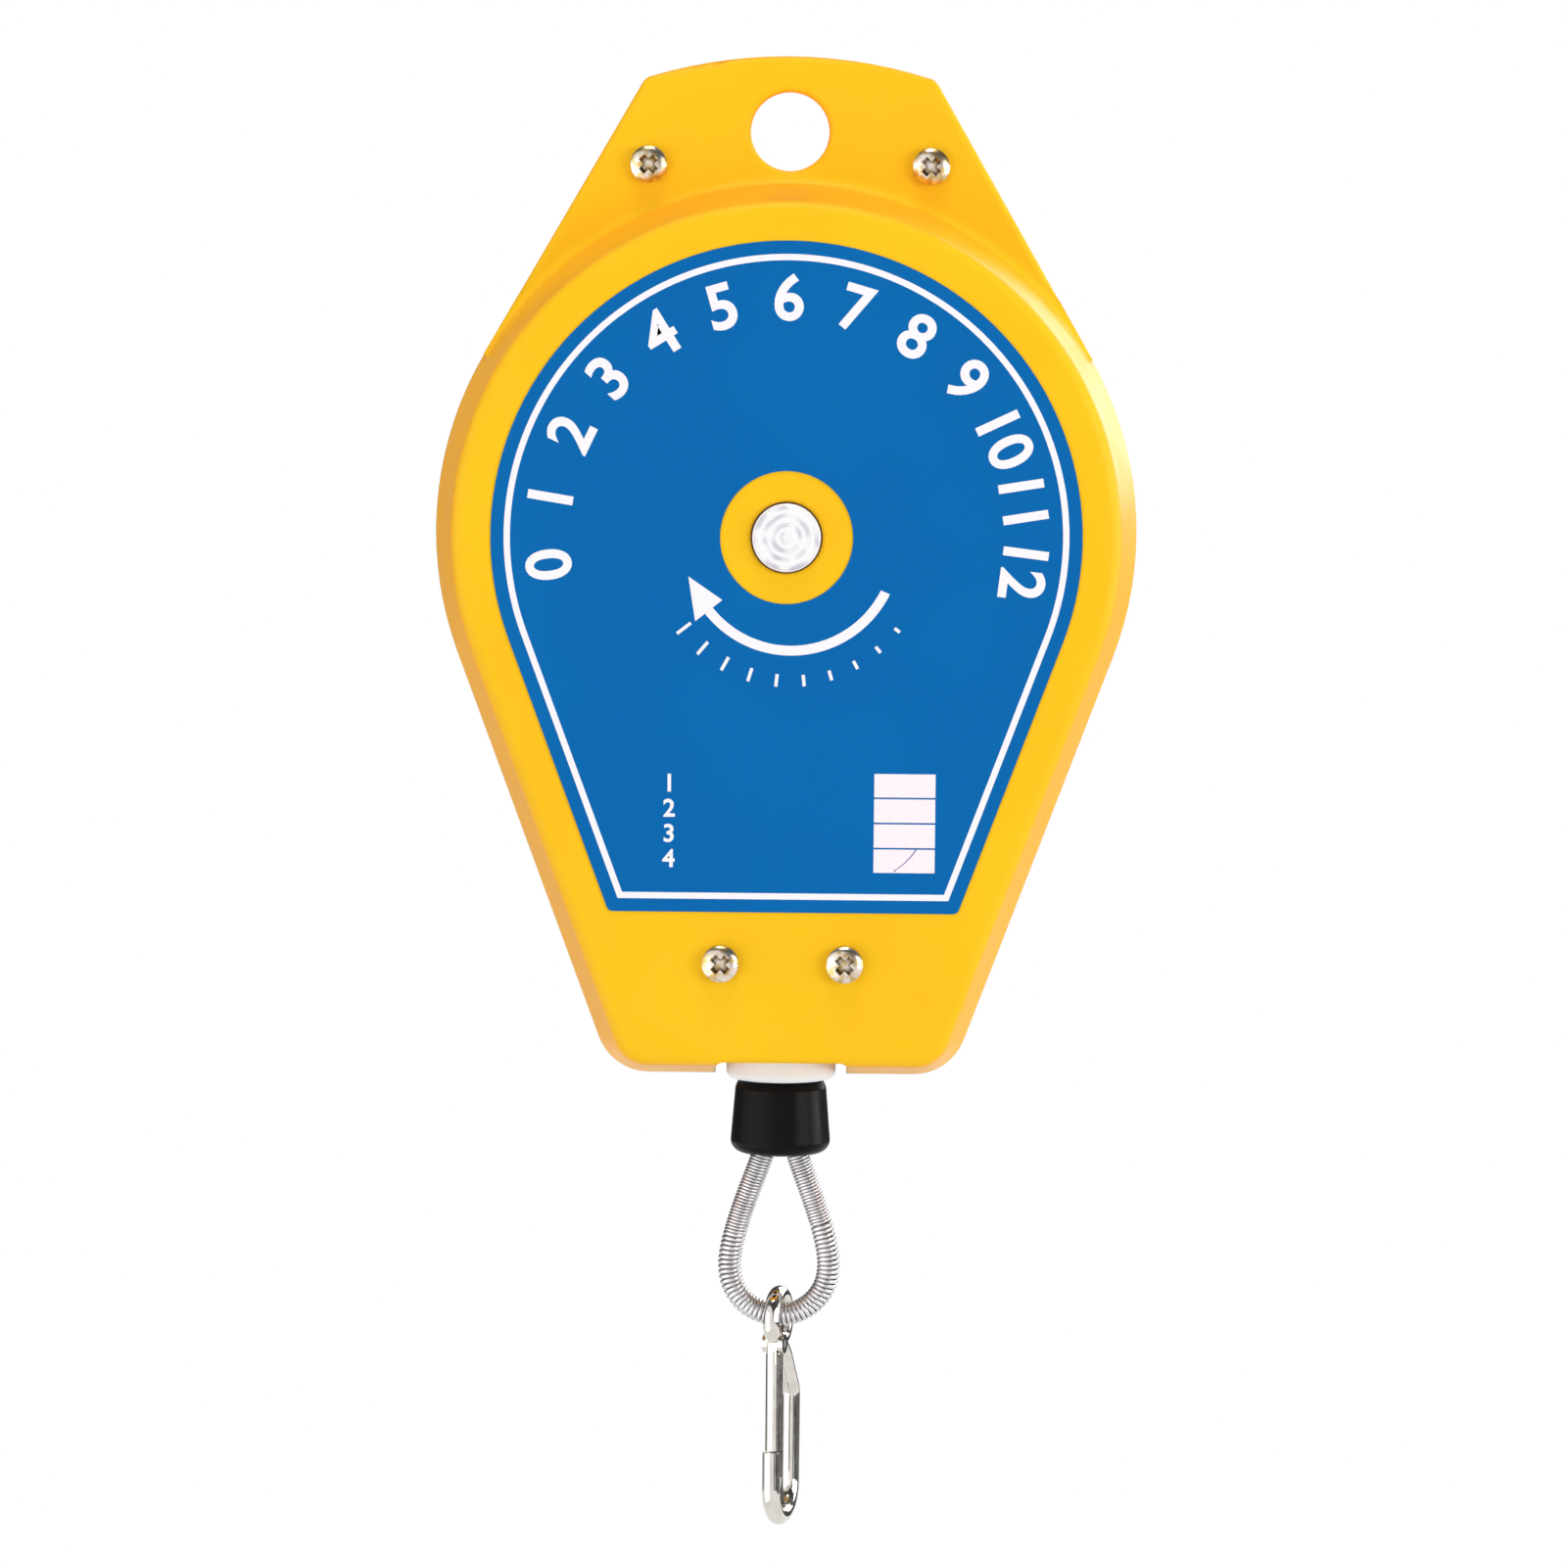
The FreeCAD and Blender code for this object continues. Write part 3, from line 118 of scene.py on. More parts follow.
class BalancerLabel(bpy.types.PropertyGroup):
    blue: colour("Blue", "#0069b0", "Printed ground of the label")
    ink: colour("White ink", "#faf7fb", "White print")
    box_white: colour("Box white", "#fff3f8", "Ground of the four tick boxes")
    ink_height: length("Ink height", 0.04, "Thickness of the ink, drawn proud enough to show")
    border_in: length("Border inset", 2.4, "Edge of the label to the white line")
    border_width: length("Border width", 1.15, "Width of the white line")
    dial_radius: length("Dial radius", 43.2, "Spindle axis to the middle of the numerals")
    numeral: length("Numeral height", 8.4, "Height of the numerals of the dial")
    arrow_radius: length("Arrow radius", 19.1, "Radius of the arrow's middle line")
    arrow_width: length("Arrow width", 1.8, "Width of the arrow's line")
    box_wide: length("Box width", 11.2, "Width of a tick box")
    box_high: length("Box height", 4.3, "Height of a tick box")
    box_pitch: length("Box pitch", 4.62, "Distance from one tick box to the next")
    box_drop: length("First box", 45.2, "Spindle axis down to the middle of the first tick box")
    box_right: length("Box column", 22.1, "Middle of the label to the middle of the tick boxes")
    row_left: length("Row numbers", 21.0, "Middle of the label to the middle of the row numbers")
    row_numeral: length("Row numeral height", 3.3, "Height of the row numbers")


class BalancerRope(bpy.types.PropertyGroup):
    rope: length("Rope diameter", 2.4, "Diameter of the wire rope")
    strip: length("Sheath wire", 0.46, "Thickness of the flat wire wound round the loop")
    winding: length("Sheath radius", 1.94, "Middle of the rope to the middle of the wire")
    close_pitch: length("Close pitch", 0.6, "Distance between turns on the legs, and their wire's width")
    open_pitch: length("Open pitch", 0.86, "Distance between turns round the bottom, and their wire's width")
    steps: IntProperty(
        name="Steps", description="Straight pieces in one turn of the wire", default=16, min=8, max=40,
    )


class BalancerStage(bpy.types.PropertyGroup):
    floor: colour("Floor", "#f2f2f0", "Plain pale floor")
    key: power("Key softbox", 12.0, "Lamp at the front right")
    side: power("Side softbox", 12.5, "Large lamp at the front left")
    edge: power("Edge softbox", 6.0, "Lamp beside, on the right")
    top: power("Top softbox", 6.0, "Overhead lamp")
    back: power("Back softbox", 13.0, "Lamp behind")
    ambient: FloatProperty(name="Ambient", description="Brightness of the room's light", default=0.5, min=0)


# ---------------------------------------------------------------- materials
def add_node(tree, kind, inputs=(), output=None, **settings):
    """Adds a node, sets or links its inputs, and returns the named output or the first live one."""
    made = tree.nodes.new(kind)
    for name, value in settings.items():
        setattr(made, name, value)
    for key, value in dict(inputs).items():
        if isinstance(value, bpy.types.NodeSocket):
            tree.links.new(value, made.inputs[key])
        else:
            made.inputs[key].default_value = value
    if output:
        return made.outputs[output]
    return next((socket for socket in made.outputs if socket.enabled), None)


def new_material(name, constants):
    """A material with constant values on its shader's sockets, and its tree and shader."""
    made = bpy.data.materials.new(name)
    made.use_nodes = True
    shader = made.node_tree.nodes["Principled BSDF"]
    for socket, value in constants.items():
        shader.inputs[socket].default_value = value
    return made, made.node_tree, shader


def connect(tree, shader, **sockets):
    """Links worked-out colour, roughness and normal to the shader."""
    for name, value in sockets.items():
        tree.links.new(value, shader.inputs[name.replace("_", " ").title()])


def darker(base, *shares):
    """A colour with its red, green and blue each taken by a share."""
    return tuple(c * k for c, k in zip(base, shares)) + (1.0,)


def enamel_material(finish):
    """Enamel baked on a sprayed die casting: clean warm yellow with a soft gloss. The spray lies rounded
    over the edges and dries to a faint orange peel; the steep walls are painted a deeper orange, as painted
    shade."""
    made, tree, shader = new_material("baked_enamel_yellow", {"IOR": 1.5, "Specular IOR Level": 0.14})
    place = add_node(tree, "ShaderNodeTexCoord", output="Object")
    normal = add_node(tree, "ShaderNodeTexCoord", output="Normal")
    facing = add_node(tree, "ShaderNodeSeparateXYZ", {0: normal}, "Y")
    flat = add_node(tree, "ShaderNodeMath", {0: facing}, operation="ABSOLUTE")
    steep = add_node(tree, "ShaderNodeMapRange", {
        "Value": flat, "From Min": 0.9, "From Max": 0.35}, interpolation_type="SMOOTHSTEP")
    clouds = add_node(tree, "ShaderNodeTexNoise", {"Vector": place, "Scale": 1 / (34 * MM), "Detail": 2.0})
    cloud = add_node(tree, "ShaderNodeMapRange", {"Value": clouds, "From Min": 0.35, "From Max": 0.7})
    face = add_node(tree, "ShaderNodeMix", {
        0: cloud, 6: tuple(finish.enamel), 7: darker(finish.enamel, 0.99, 0.94, 0.8)}, data_type="RGBA")
    # Painted shade: the steeper the face, the more of the deeper wall colour it takes.
    tone = add_node(tree, "ShaderNodeMix", {
        0: steep, 6: face, 7: tuple(finish.enamel_deep)}, data_type="RGBA")
    gloss = add_node(tree, "ShaderNodeTexNoise", {"Vector": place, "Scale": 1 / (9 * MM)})
    rough = add_node(tree, "ShaderNodeMapRange", {
        "Value": gloss, "From Min": 0.3, "From Max": 0.7, "To Min": 0.32, "To Max": 0.42})
    rounded = add_node(tree, "ShaderNodeBevel", {"Radius": finish.paint_edge}, samples=4)
    peel = add_node(tree, "ShaderNodeTexNoise", {"Vector": place, "Scale": 1 / finish.peel, "Detail": 1.0})
    rippled = add_node(tree, "ShaderNodeBump", {
        "Height": peel, "Distance": 0.03 * MM, "Strength": 0.5, "Normal": rounded})
    connect(tree, shader, base_color=tone, roughness=rough, normal=rippled)
    return made


def label_material(label):
    """Printed polyester film: flat blue ink with a faint cloud in its tone, under a satin face."""
    made, tree, shader = new_material("printed_polyester_blue", {"IOR": 1.5, "Specular IOR Level": 0.1})
    place = add_node(tree, "ShaderNodeTexCoord", output="Object")
    clouds = add_node(tree, "ShaderNodeTexNoise", {"Vector": place, "Scale": 1 / (45 * MM), "Detail": 2.0})
    cloud = add_node(tree, "ShaderNodeMapRange", {"Value": clouds, "From Min": 0.35, "From Max": 0.68})
    tone = add_node(tree, "ShaderNodeMix", {
        0: cloud, 6: tuple(label.blue), 7: darker(label.blue, 1.0, 0.92, 0.95)}, data_type="RGBA")
    grain = add_node(tree, "ShaderNodeTexNoise", {"Vector": place, "Scale": 1 / (0.9 * MM)})
    rough = add_node(tree, "ShaderNodeMapRange", {
        "Value": grain, "From Min": 0.3, "From Max": 0.7, "To Min": 0.36, "To Max": 0.46})
    uneven = add_node(tree, "ShaderNodeBump", {"Height": grain, "Distance": 0.008 * MM, "Strength": 0.4})
    connect(tree, shader, base_color=tone, roughness=rough, normal=uneven)
    return made


def ink_material(name, base):
    """Screen-printed ink: opaque and thinly laid, with paler pinholes and a slightly uneven satin face."""
    made, tree, shader = new_material(name, {"IOR": 1.5, "Specular IOR Level": 0.3})
    place = add_node(tree, "ShaderNodeTexCoord", output="Object")
    pinholes = add_node(tree, "ShaderNodeTexNoise", {"Vector": place, "Scale": 1 / (0.7 * MM), "Detail": 3.0})
    speck = add_node(tree, "ShaderNodeMapRange", {"Value": pinholes, "From Min": 0.55, "From Max": 0.72})
    tone = add_node(tree, "ShaderNodeMix", {
        0: speck, 6: tuple(base), 7: darker(base, 0.95, 0.95, 0.96)}, data_type="RGBA")
    rough = add_node(tree, "ShaderNodeMapRange", {
        "Value": pinholes, "From Min": 0.3, "From Max": 0.7, "To Min": 0.45, "To Max": 0.55})
    uneven = add_node(tree, "ShaderNodeBump", {"Height": pinholes, "Distance": 0.006 * MM, "Strength": 0.4})
    connect(tree, shader, base_color=tone, roughness=rough, normal=uneven)
    return made


def nylon_material(finish):
    """Moulded nylon: cool milky white with a satin skin and faint flow marks."""
    made, tree, shader = new_material("moulded_nylon_white", {"IOR": 1.53, "Specular IOR Level": 0.35})
    place = add_node(tree, "ShaderNodeTexCoord", output="Object")
    flow = add_node(tree, "ShaderNodeTexNoise", {"Vector": place, "Scale": 1 / (6 * MM), "Distortion": 0.6})
    streak = add_node(tree, "ShaderNodeMapRange", {"Value": flow, "From Min": 0.35, "From Max": 0.7})
    tone = add_node(tree, "ShaderNodeMix", {
        0: streak, 6: tuple(finish.nylon), 7: darker(finish.nylon, 0.95, 0.95, 0.96)}, data_type="RGBA")
    rough = add_node(tree, "ShaderNodeMapRange", {
        "Value": flow, "From Min": 0.3, "From Max": 0.7, "To Min": 0.38, "To Max": 0.5})
    skin = add_node(tree, "ShaderNodeTexNoise", {"Vector": place, "Scale": 1 / (0.8 * MM)})
    uneven = add_node(tree, "ShaderNodeBump", {"Height": skin, "Distance": 0.01 * MM, "Strength": 0.4})
    connect(tree, shader, base_color=tone, roughness=rough, normal=uneven)
    return made


def rubber_material(finish):
    """Moulded natural rubber: near black with grey bloom in patches, and a broad soft highlight."""
    made, tree, shader = new_material("moulded_rubber_black", {"IOR": 1.52, "Specular IOR Level": 0.08})
    place = add_node(tree, "ShaderNodeTexCoord", output="Object")
    patches = add_node(tree, "ShaderNodeTexNoise", {
        "Vector": place, "Scale": 1 / (3.5 * MM), "Detail": 5.0, "Roughness": 0.65})
    bloom = add_node(tree, "ShaderNodeMapRange", {
        "Value": patches, "From Min": 0.42, "From Max": 0.75, "To Max": 0.7})
    tone = add_node(tree, "ShaderNodeMix", {
        0: bloom, 6: tuple(finish.rubber), 7: darker(finish.rubber, 1.6, 1.6, 1.6)}, data_type="RGBA")
    rough = add_node(tree, "ShaderNodeMapRange", {
        "Value": patches, "From Min": 0.3, "From Max": 0.7, "To Min": 0.28, "To Max": 0.38})
    grain = add_node(tree, "ShaderNodeTexNoise", {"Vector": place, "Scale": 1 / (0.6 * MM), "Detail": 4.0})
    uneven = add_node(tree, "ShaderNodeBump", {"Height": grain, "Distance": 0.03 * MM, "Strength": 0.4})
    connect(tree, shader, base_color=tone, roughness=rough, normal=uneven)
    return made


def metal_material(name, base, tint, rough, grain, tint_share, relief):
    """A metal surface: the base colour with patches of a second tone, and a grain of its working or casting
    that shows in the gloss and in the surface, both in millimetres. Each use says what it is."""
    made, tree, shader = new_material(name, {"Metallic": 1.0})
    place = add_node(tree, "ShaderNodeTexCoord", output="Object")
    patches = add_node(tree, "ShaderNodeTexNoise", {"Vector": place, "Scale": 1 / (2.6 * MM), "Detail": 3.0})
    patch = add_node(tree, "ShaderNodeMapRange", {
        "Value": patches, "From Min": 0.42, "From Max": 0.66, "To Max": tint_share})
    tone = add_node(tree, "ShaderNodeMix", {0: patch, 6: linear(base), 7: linear(tint)}, data_type="RGBA")
    fine = add_node(tree, "ShaderNodeTexNoise", {
        "Vector": place, "Scale": 1 / (grain * MM), "Detail": 3.0, "Roughness": 0.6})
    dull = add_node(tree, "ShaderNodeMapRange", {
        "Value": fine, "From Min": 0.3, "From Max": 0.7, "To Min": rough[0], "To Max": rough[1]})
    uneven = add_node(tree, "ShaderNodeBump", {"Height": fine, "Distance": relief * MM, "Strength": 0.5})
    connect(tree, shader, base_color=tone, roughness=dull, normal=uneven)
    return made


def passivated_zinc_material():
    """Zinc plate with yellow passivation: bright, with straw and pink tints. The cross recess is painted dark
    brown where it is closed in, as painted shade."""
    made, tree, shader = new_material("zinc_plate_yellow_passivated", {"Metallic": 1.0})
    place = add_node(tree, "ShaderNodeTexCoord", output="Object")
    patches = add_node(tree, "ShaderNodeTexNoise", {"Vector": place, "Scale": 1 / (1.3 * MM), "Detail": 2.0})
    patch = add_node(tree, "ShaderNodeMapRange", {"Value": patches, "From Min": 0.4, "From Max": 0.62})
    plated = add_node(tree, "ShaderNodeMix", {
        0: patch, 6: linear("#e9ddd2"), 7: linear("#c8aa6c")}, data_type="RGBA")
    # Painted shade: where ambient occlusion finds the surface closed in, as in the cross recess, the plate
    # turns dark brown.
    open_to_light = add_node(tree, "ShaderNodeAmbientOcclusion", {"Distance": 1.3 * MM}, "AO", samples=8)
    painted_recess_shade = add_node(tree, "ShaderNodeMapRange", {"Value": open_to_light, "From Min": 0.8, "From Max": 0.3})
    tone = add_node(tree, "ShaderNodeMix", {0: painted_recess_shade, 6: plated, 7: linear("#5a4220")}, data_type="RGBA")
    rough = add_node(tree, "ShaderNodeMapRange", {
        "Value": patches, "From Min": 0.3, "From Max": 0.7, "To Min": 0.2, "To Max": 0.32})
    connect(tree, shader, base_color=tone, roughness=rough)
    return made


def turned_material(finish):
    """Steel faced on the lathe: nearly white, with soft round tool marks about its axis that fade in and
    out. The marks are drawn coarser than real ones, so that they show."""
    made, tree, shader = new_material("faced_steel_bright", {"Metallic": 0.1})
    place = add_node(tree, "ShaderNodeTexCoord", output="Object")
    centred = add_node(tree, "ShaderNodeVectorMath", {0: place, 1: tuple(SHAFT)}, operation="SUBTRACT")
    marks = []
    for spacing in (finish.turning, finish.turning / 3.2):
        marks.append(add_node(tree, "ShaderNodeTexWave", {
            "Vector": centred, "Scale": 2 * math.pi / (20 * spacing), "Distortion": 0.25, "Detail": 1.0,
            "Detail Scale": 1.0}, wave_type="RINGS", rings_direction="Y", wave_profile="SIN"))
    patches = add_node(tree, "ShaderNodeTexNoise", {
        "Vector": centred, "Scale": 1 / (3.2 * MM), "Detail": 1.0})
    seen = add_node(tree, "ShaderNodeMapRange", {
        "Value": patches, "From Min": 0.42, "From Max": 0.66, "To Min": 0.08})
    coarse = add_node(tree, "ShaderNodeMath", {0: marks[0], 1: seen}, operation="MULTIPLY")
    both = add_node(tree, "ShaderNodeMath", {0: marks[1], 1: 0.22, 2: coarse}, operation="MULTIPLY_ADD")
    tone = add_node(tree, "ShaderNodeMix", {
        0: both, 6: linear("#ffffff"), 7: linear("#cfcad6")}, data_type="RGBA")
    rough = add_node(tree, "ShaderNodeMapRange", {"Value": coarse, "To Min": 0.34, "To Max": 0.46})
    uneven = add_node(tree, "ShaderNodeBump", {"Height": both, "Distance": 0.03 * MM, "Strength": 0.5})
    connect(tree, shader, base_color=tone, roughness=rough, normal=uneven)
    return made


def rope_material():
    """Galvanised wire rope: laid strands of dull bright wires, with painted shade in the valleys between."""
    strands, lay_length = 6.0, 15 * MM
    made, tree, shader = new_material("galvanised_wire_rope", {"Metallic": 1.0})
    place = add_node(tree, "ShaderNodeTexCoord", output="Object")
    apart = add_node(tree, "ShaderNodeSeparateXYZ", {0: place}, "X").node.outputs
    angle = add_node(tree, "ShaderNodeMath", {0: apart["Y"], 1: apart["X"]}, operation="ARCTAN2")
    round_about = add_node(tree, "ShaderNodeMath", {0: angle, 1: strands}, operation="MULTIPLY")
    lay = add_node(tree, "ShaderNodeMath", {
        0: apart["Z"], 1: strands * 2 * math.pi / lay_length, 2: round_about}, operation="MULTIPLY_ADD")
    ridge = add_node(tree, "ShaderNodeMath", {0: lay}, operation="SINE")
    height = add_node(tree, "ShaderNodeMapRange", {"Value": ridge, "From Min": -1.0})
    # Painted shade: the valleys between the strands take the dark grey and the crests the bright one.
    tone = add_node(tree, "ShaderNodeMix", {
        0: height, 6: linear("#4c4d50"), 7: linear("#c9cbcd")}, data_type="RGBA")
    grain = add_node(tree, "ShaderNodeTexNoise", {"Vector": place, "Scale": 1 / (0.4 * MM)})
    rough = add_node(tree, "ShaderNodeMapRange", {
        "Value": grain, "From Min": 0.3, "From Max": 0.7, "To Min": 0.3, "To Max": 0.5})
    raised = add_node(tree, "ShaderNodeBump", {"Height": height, "Distance": 0.12 * MM, "Strength": 0.8})
    connect(tree, shader, base_color=tone, roughness=rough, normal=raised)
    return made


def give_finish(material, *nodes):
    """Puts a material in every slot of the named frame nodes."""
    for name in nodes:
        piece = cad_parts[name]
        if not piece.material_slots:
            piece.data.materials.append(material)
        for holder in piece.material_slots:
            holder.material = material


# ---------------------------------------------------------------- modelling helpers
def nothing_selected():
    """Leaves edit mode and deselects everything."""
    if bpy.context.object and bpy.context.object.mode != "OBJECT":
        bpy.ops.object.mode_set(mode="OBJECT")
    bpy.ops.object.select_all(action="DESELECT")


def pick(piece, kind, test):
    """Selects the corners, edges or faces that pass a test, and leaves the piece in edit mode."""
    bpy.ops.object.mode_set(mode="EDIT")
    bpy.ops.mesh.select_mode(type=kind)
    bpy.ops.mesh.select_all(action="DESELECT")
    bpy.ops.object.mode_set(mode="OBJECT")
    mesh = piece.data
    for item in {"VERT": mesh.vertices, "EDGE": mesh.edges, "FACE": mesh.polygons}[kind]:
        item.select = test(item)
    bpy.ops.object.mode_set(mode="EDIT")


def finished(piece, name, material, body):
    """Names a piece, moves its place into its mesh, gives it its finish and lets it ride its body."""
    nothing_selected()
    piece.select_set(True)
    bpy.context.view_layer.objects.active = piece
    bpy.ops.object.transform_apply(location=True, rotation=True, scale=True)
    piece.name = piece.data.name = name
    piece.data.materials.clear()
    piece.data.materials.append(material)
    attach(piece, body)
    return piece


def joined(pieces):
    """Joins pieces into the first of them."""
    nothing_selected()
    for piece in pieces:
        piece.select_set(True)
    bpy.context.view_layer.objects.active = pieces[0]
    bpy.ops.object.join()
    return pieces[0]


def inked(piece, height):
    """Gives a flat print its thickness, standing proud of the label and sunk into it by a quarter of that."""
    nothing_selected()
    piece.select_set(True)
    bpy.context.view_layer.objects.active = piece
    bpy.ops.object.transform_apply(location=True, rotation=True, scale=True)
    for corner in piece.data.vertices:
        corner.co.y = FACE_Y - height
    bpy.ops.object.mode_set(mode="EDIT")
    bpy.ops.mesh.select_all(action="SELECT")
    bpy.ops.mesh.remove_doubles(threshold=0.002 * MM)
    pick(piece, "FACE", lambda face: face.normal.y > 0)
    bpy.ops.mesh.flip_normals()
    bpy.ops.object.mode_set(mode="OBJECT")
    wall = piece.modifiers.new("ink", "SOLIDIFY")
    wall.thickness = height * 1.25
    wall.offset = -1.0
    bpy.ops.object.modifier_apply(modifier=wall.name)
    bpy.ops.object.shade_flat()
    return piece


def printed(piece, name, ink, height):
    """Finishes a flat print on the label in one of its inks."""
    return finished(inked(piece, height), name, bpy.data.materials[ink], "case")


def on_face(radius, degrees, centre=None):
    """A place on the label's face, at a radius and angle about the spindle axis as seen from the front."""
    centre = centre or SHAFT
    a = math.radians(degrees)
    return (centre.x + radius * math.cos(a), FACE_Y, centre.z + radius * math.sin(a))


def numeral(text, size, radius, degrees):
    """A printed number whose head points away from the spindle."""
    nothing_selected()
    bpy.ops.object.text_add(
        location=on_face(radius, degrees), rotation=(math.pi / 2, math.radians(90 - degrees), 0),
    )
    piece = bpy.context.object
    piece.data.body = text
    piece.data.size = size / CAP_SHARE
    piece.data.offset = 0.03 * size
    piece.data.align_x = "CENTER"
    piece.data.align_y = "CENTER"
    piece.data.resolution_u = 6
    bpy.ops.object.convert(target="MESH")
    return bpy.context.object


# ---------------------------------------------------------------- operators
class BALANCER_OT_finishes(bpy.types.Operator):
    """Gives every part of the frame its real finish"""
    bl_idname = "balancer.finishes"
    bl_label = "Finishes"

    def execute(self, context):
        finish, label = context.scene.balancer_finish, context.scene.balancer_label
        give_finish(enamel_material(finish), "front_cover", "rear_cover")
        give_finish(label_material(label), "rating_label")
        give_finish(nylon_material(finish), "rope_guide")
        give_finish(rubber_material(finish), "rubber_stop")
        give_finish(turned_material(finish), "spindle")
        passivated_zinc_material()
        # Zinc-plated steel, clear passivated: cool and bright, hardly any grain.
        give_finish(
            metal_material(
                "zinc_plated_steel", "#dfe0e0", "#b9ad93",
                rough=(0.22, 0.34), grain=0.4, tint_share=0.6, relief=0.004,
            ),
            "pawl_pin", "leaf_post", "lid_screw_1", "lid_screw_2", "lid_screw_3", "lid_screw_4",
        )
        # Machined and oiled steel: mid grey with a short grain of tool marks.
        give_finish(
            metal_material(
                "machined_steel_oiled", "#c4c6c9", "#96979b",
                rough=(0.3, 0.45), grain=0.5, tint_share=0.5, relief=0.006,
            ),
            "ratchet_wheel", "wheel_washer", "pawl", "gate_pin",
        )
        # Spring steel blued by its tempering: dark blue grey, patches turning brown.
        give_finish(
            metal_material(
                "blued_spring_steel", "#4b4f58", "#5d5348",
                rough=(0.28, 0.42), grain=0.4, tint_share=0.5, relief=0.004,
            ),
            "pawl_leaf", "wheel_clip", "power_spring",
        )
        # Oil-filled sintered bronze: matt brown gold with open pores.
        give_finish(
            metal_material(
                "sintered_bronze", "#c09468", "#8d6a48",
                rough=(0.42, 0.6), grain=0.35, tint_share=0.5, relief=0.01,
            ),
            "front_bush", "rear_bush", "drum_bush_front", "drum_bush_rear",
        )
        # Die-cast aluminium as cast: pale grey, dull, with a coarse skin.
        give_finish(
            metal_material(
                "cast_aluminium", "#c4c6c8", "#9fa2a5",
                rough=(0.4, 0.6), grain=0.6, tint_share=0.5, relief=0.012,
            ),
            "rope_drum", "drum_lid", "rope_anchor", "rope_ferrule",
        )
        # Bright nickel plate on polished steel: mirror-like, slightly warm, gently wavy from polishing.
        give_finish(
            metal_material(
                "bright_nickel_plate", "#dfdbd4", "#bdb5a8",
                rough=(0.05, 0.1), grain=3.5, tint_share=0.3, relief=0.003,
            ),
            "snap_hook", "hook_gate",
        )
        give_finish(rope_material(), "rope_run", "rope_wraps", "rope_payout", "rope_loop")
        # Hard-drawn spring wire: even grey shine with fine drawing marks.
        give_finish(
            metal_material(
                "drawn_spring_wire_bright", "#dddadd", "#b4b1b5",
                rough=(0.3, 0.42), grain=0.3, tint_share=0.4, relief=0.002,
            ),
            "loop_sheath",
        )
        ink_material("screen_ink_white", label.ink)
        ink_material("screen_ink_box_white", label.box_white)
        ink_material("ballpoint_line", linear("#8f86b4"))
        return {"FINISHED"}


class BALANCER_OT_case_screws(bpy.types.Operator):
    """Makes the four pan-head case screws, with their crowned heads and cross recesses"""
    bl_idname = "balancer.case_screws"
    bl_label = "Case screws"

    def execute(self, context):
        nodes = ("ear_screw_left", "ear_screw_right", "lower_screw_left", "lower_screw_right")
        low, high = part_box(nodes[0])
        radius, height = (high.x - low.x) / 2, 2.2 * MM
        shank_radius, shank_length = 1.72 * MM, 4 * MM
        # Each step of the crown keeps a share of the width and rises by so many millimetres.
        crown_steps = ((0.93, 0.28), (0.8, 0.3), (0.62, 0.22), (0.4, 0.12))
        crown = -sum(rise for _, rise in crown_steps) * MM
        recess_long, recess_wide, recess_deep, over, taper = 4.3 * MM, 1.5 * MM, 1.4 * MM, 0.3 * MM, 0.62
        nothing_selected()
        bpy.ops.mesh.primitive_cylinder_add(
            vertices=48, radius=radius, depth=height, location=(0, height / 2, 0),
            rotation=(math.pi / 2, 0, 0),
        )
        screw = context.object
        bpy.ops.object.transform_apply(location=True, rotation=True, scale=True)
        pick(screw, "FACE", lambda face: face.normal.y < -0.9)
        for share, rise in crown_steps:
            bpy.ops.mesh.extrude_region_move(TRANSFORM_OT_translate={"value": (0, -rise * MM, 0)})
            bpy.ops.transform.resize(value=(share, 1, share))
        pick(screw, "FACE", lambda face: face.normal.y > 0.9)
        bpy.ops.mesh.inset(thickness=radius - shank_radius)
        bpy.ops.mesh.extrude_region_move(TRANSFORM_OT_translate={"value": (0, shank_length, 0)})
        bpy.ops.object.mode_set(mode="OBJECT")
        for turn in (0, math.pi / 2):
            nothing_selected()
            bpy.ops.mesh.primitive_cube_add(
                size=1, location=(0, crown + (recess_deep - over) / 2, 0),
                rotation=(0, turn + math.pi / 4, 0), scale=(recess_long, recess_deep + over, recess_wide),
            )
            cutter = context.object
            bpy.ops.object.transform_apply(location=True, rotation=True, scale=True)
            pick(cutter, "FACE", lambda face: face.normal.y > 0.9)
            bpy.ops.transform.resize(value=(taper, 1, taper))
            bpy.ops.object.mode_set(mode="OBJECT")
            recess = screw.modifiers.new("recess", "BOOLEAN")
            recess.object = cutter
            nothing_selected()
            context.view_layer.objects.active = screw
            bpy.ops.object.modifier_apply(modifier=recess.name)
            bpy.data.objects.remove(cutter)
        front = min(corner.co.y for corner in screw.data.vertices)
        back = max(corner.co.y for corner in screw.data.vertices)
        for node in nodes:
            low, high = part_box(node)
            piece = bpy.data.objects.new(node, screw.data.copy())
            context.collection.objects.link(piece)
            for corner in piece.data.vertices:
                if corner.co.y > back - NEAR:
                    corner.co.y += high.y - low.y - (back - front)
            piece.location = ((low.x + high.x) / 2, low.y - front, (low.z + high.z) / 2)
            zinc = bpy.data.materials["zinc_plate_yellow_passivated"]
            finished(piece, node + "_turned", zinc, "case")
            bpy.ops.object.shade_smooth_by_angle(angle=math.radians(32))
            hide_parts(node)
        bpy.data.objects.remove(screw)
        return {"FINISHED"}


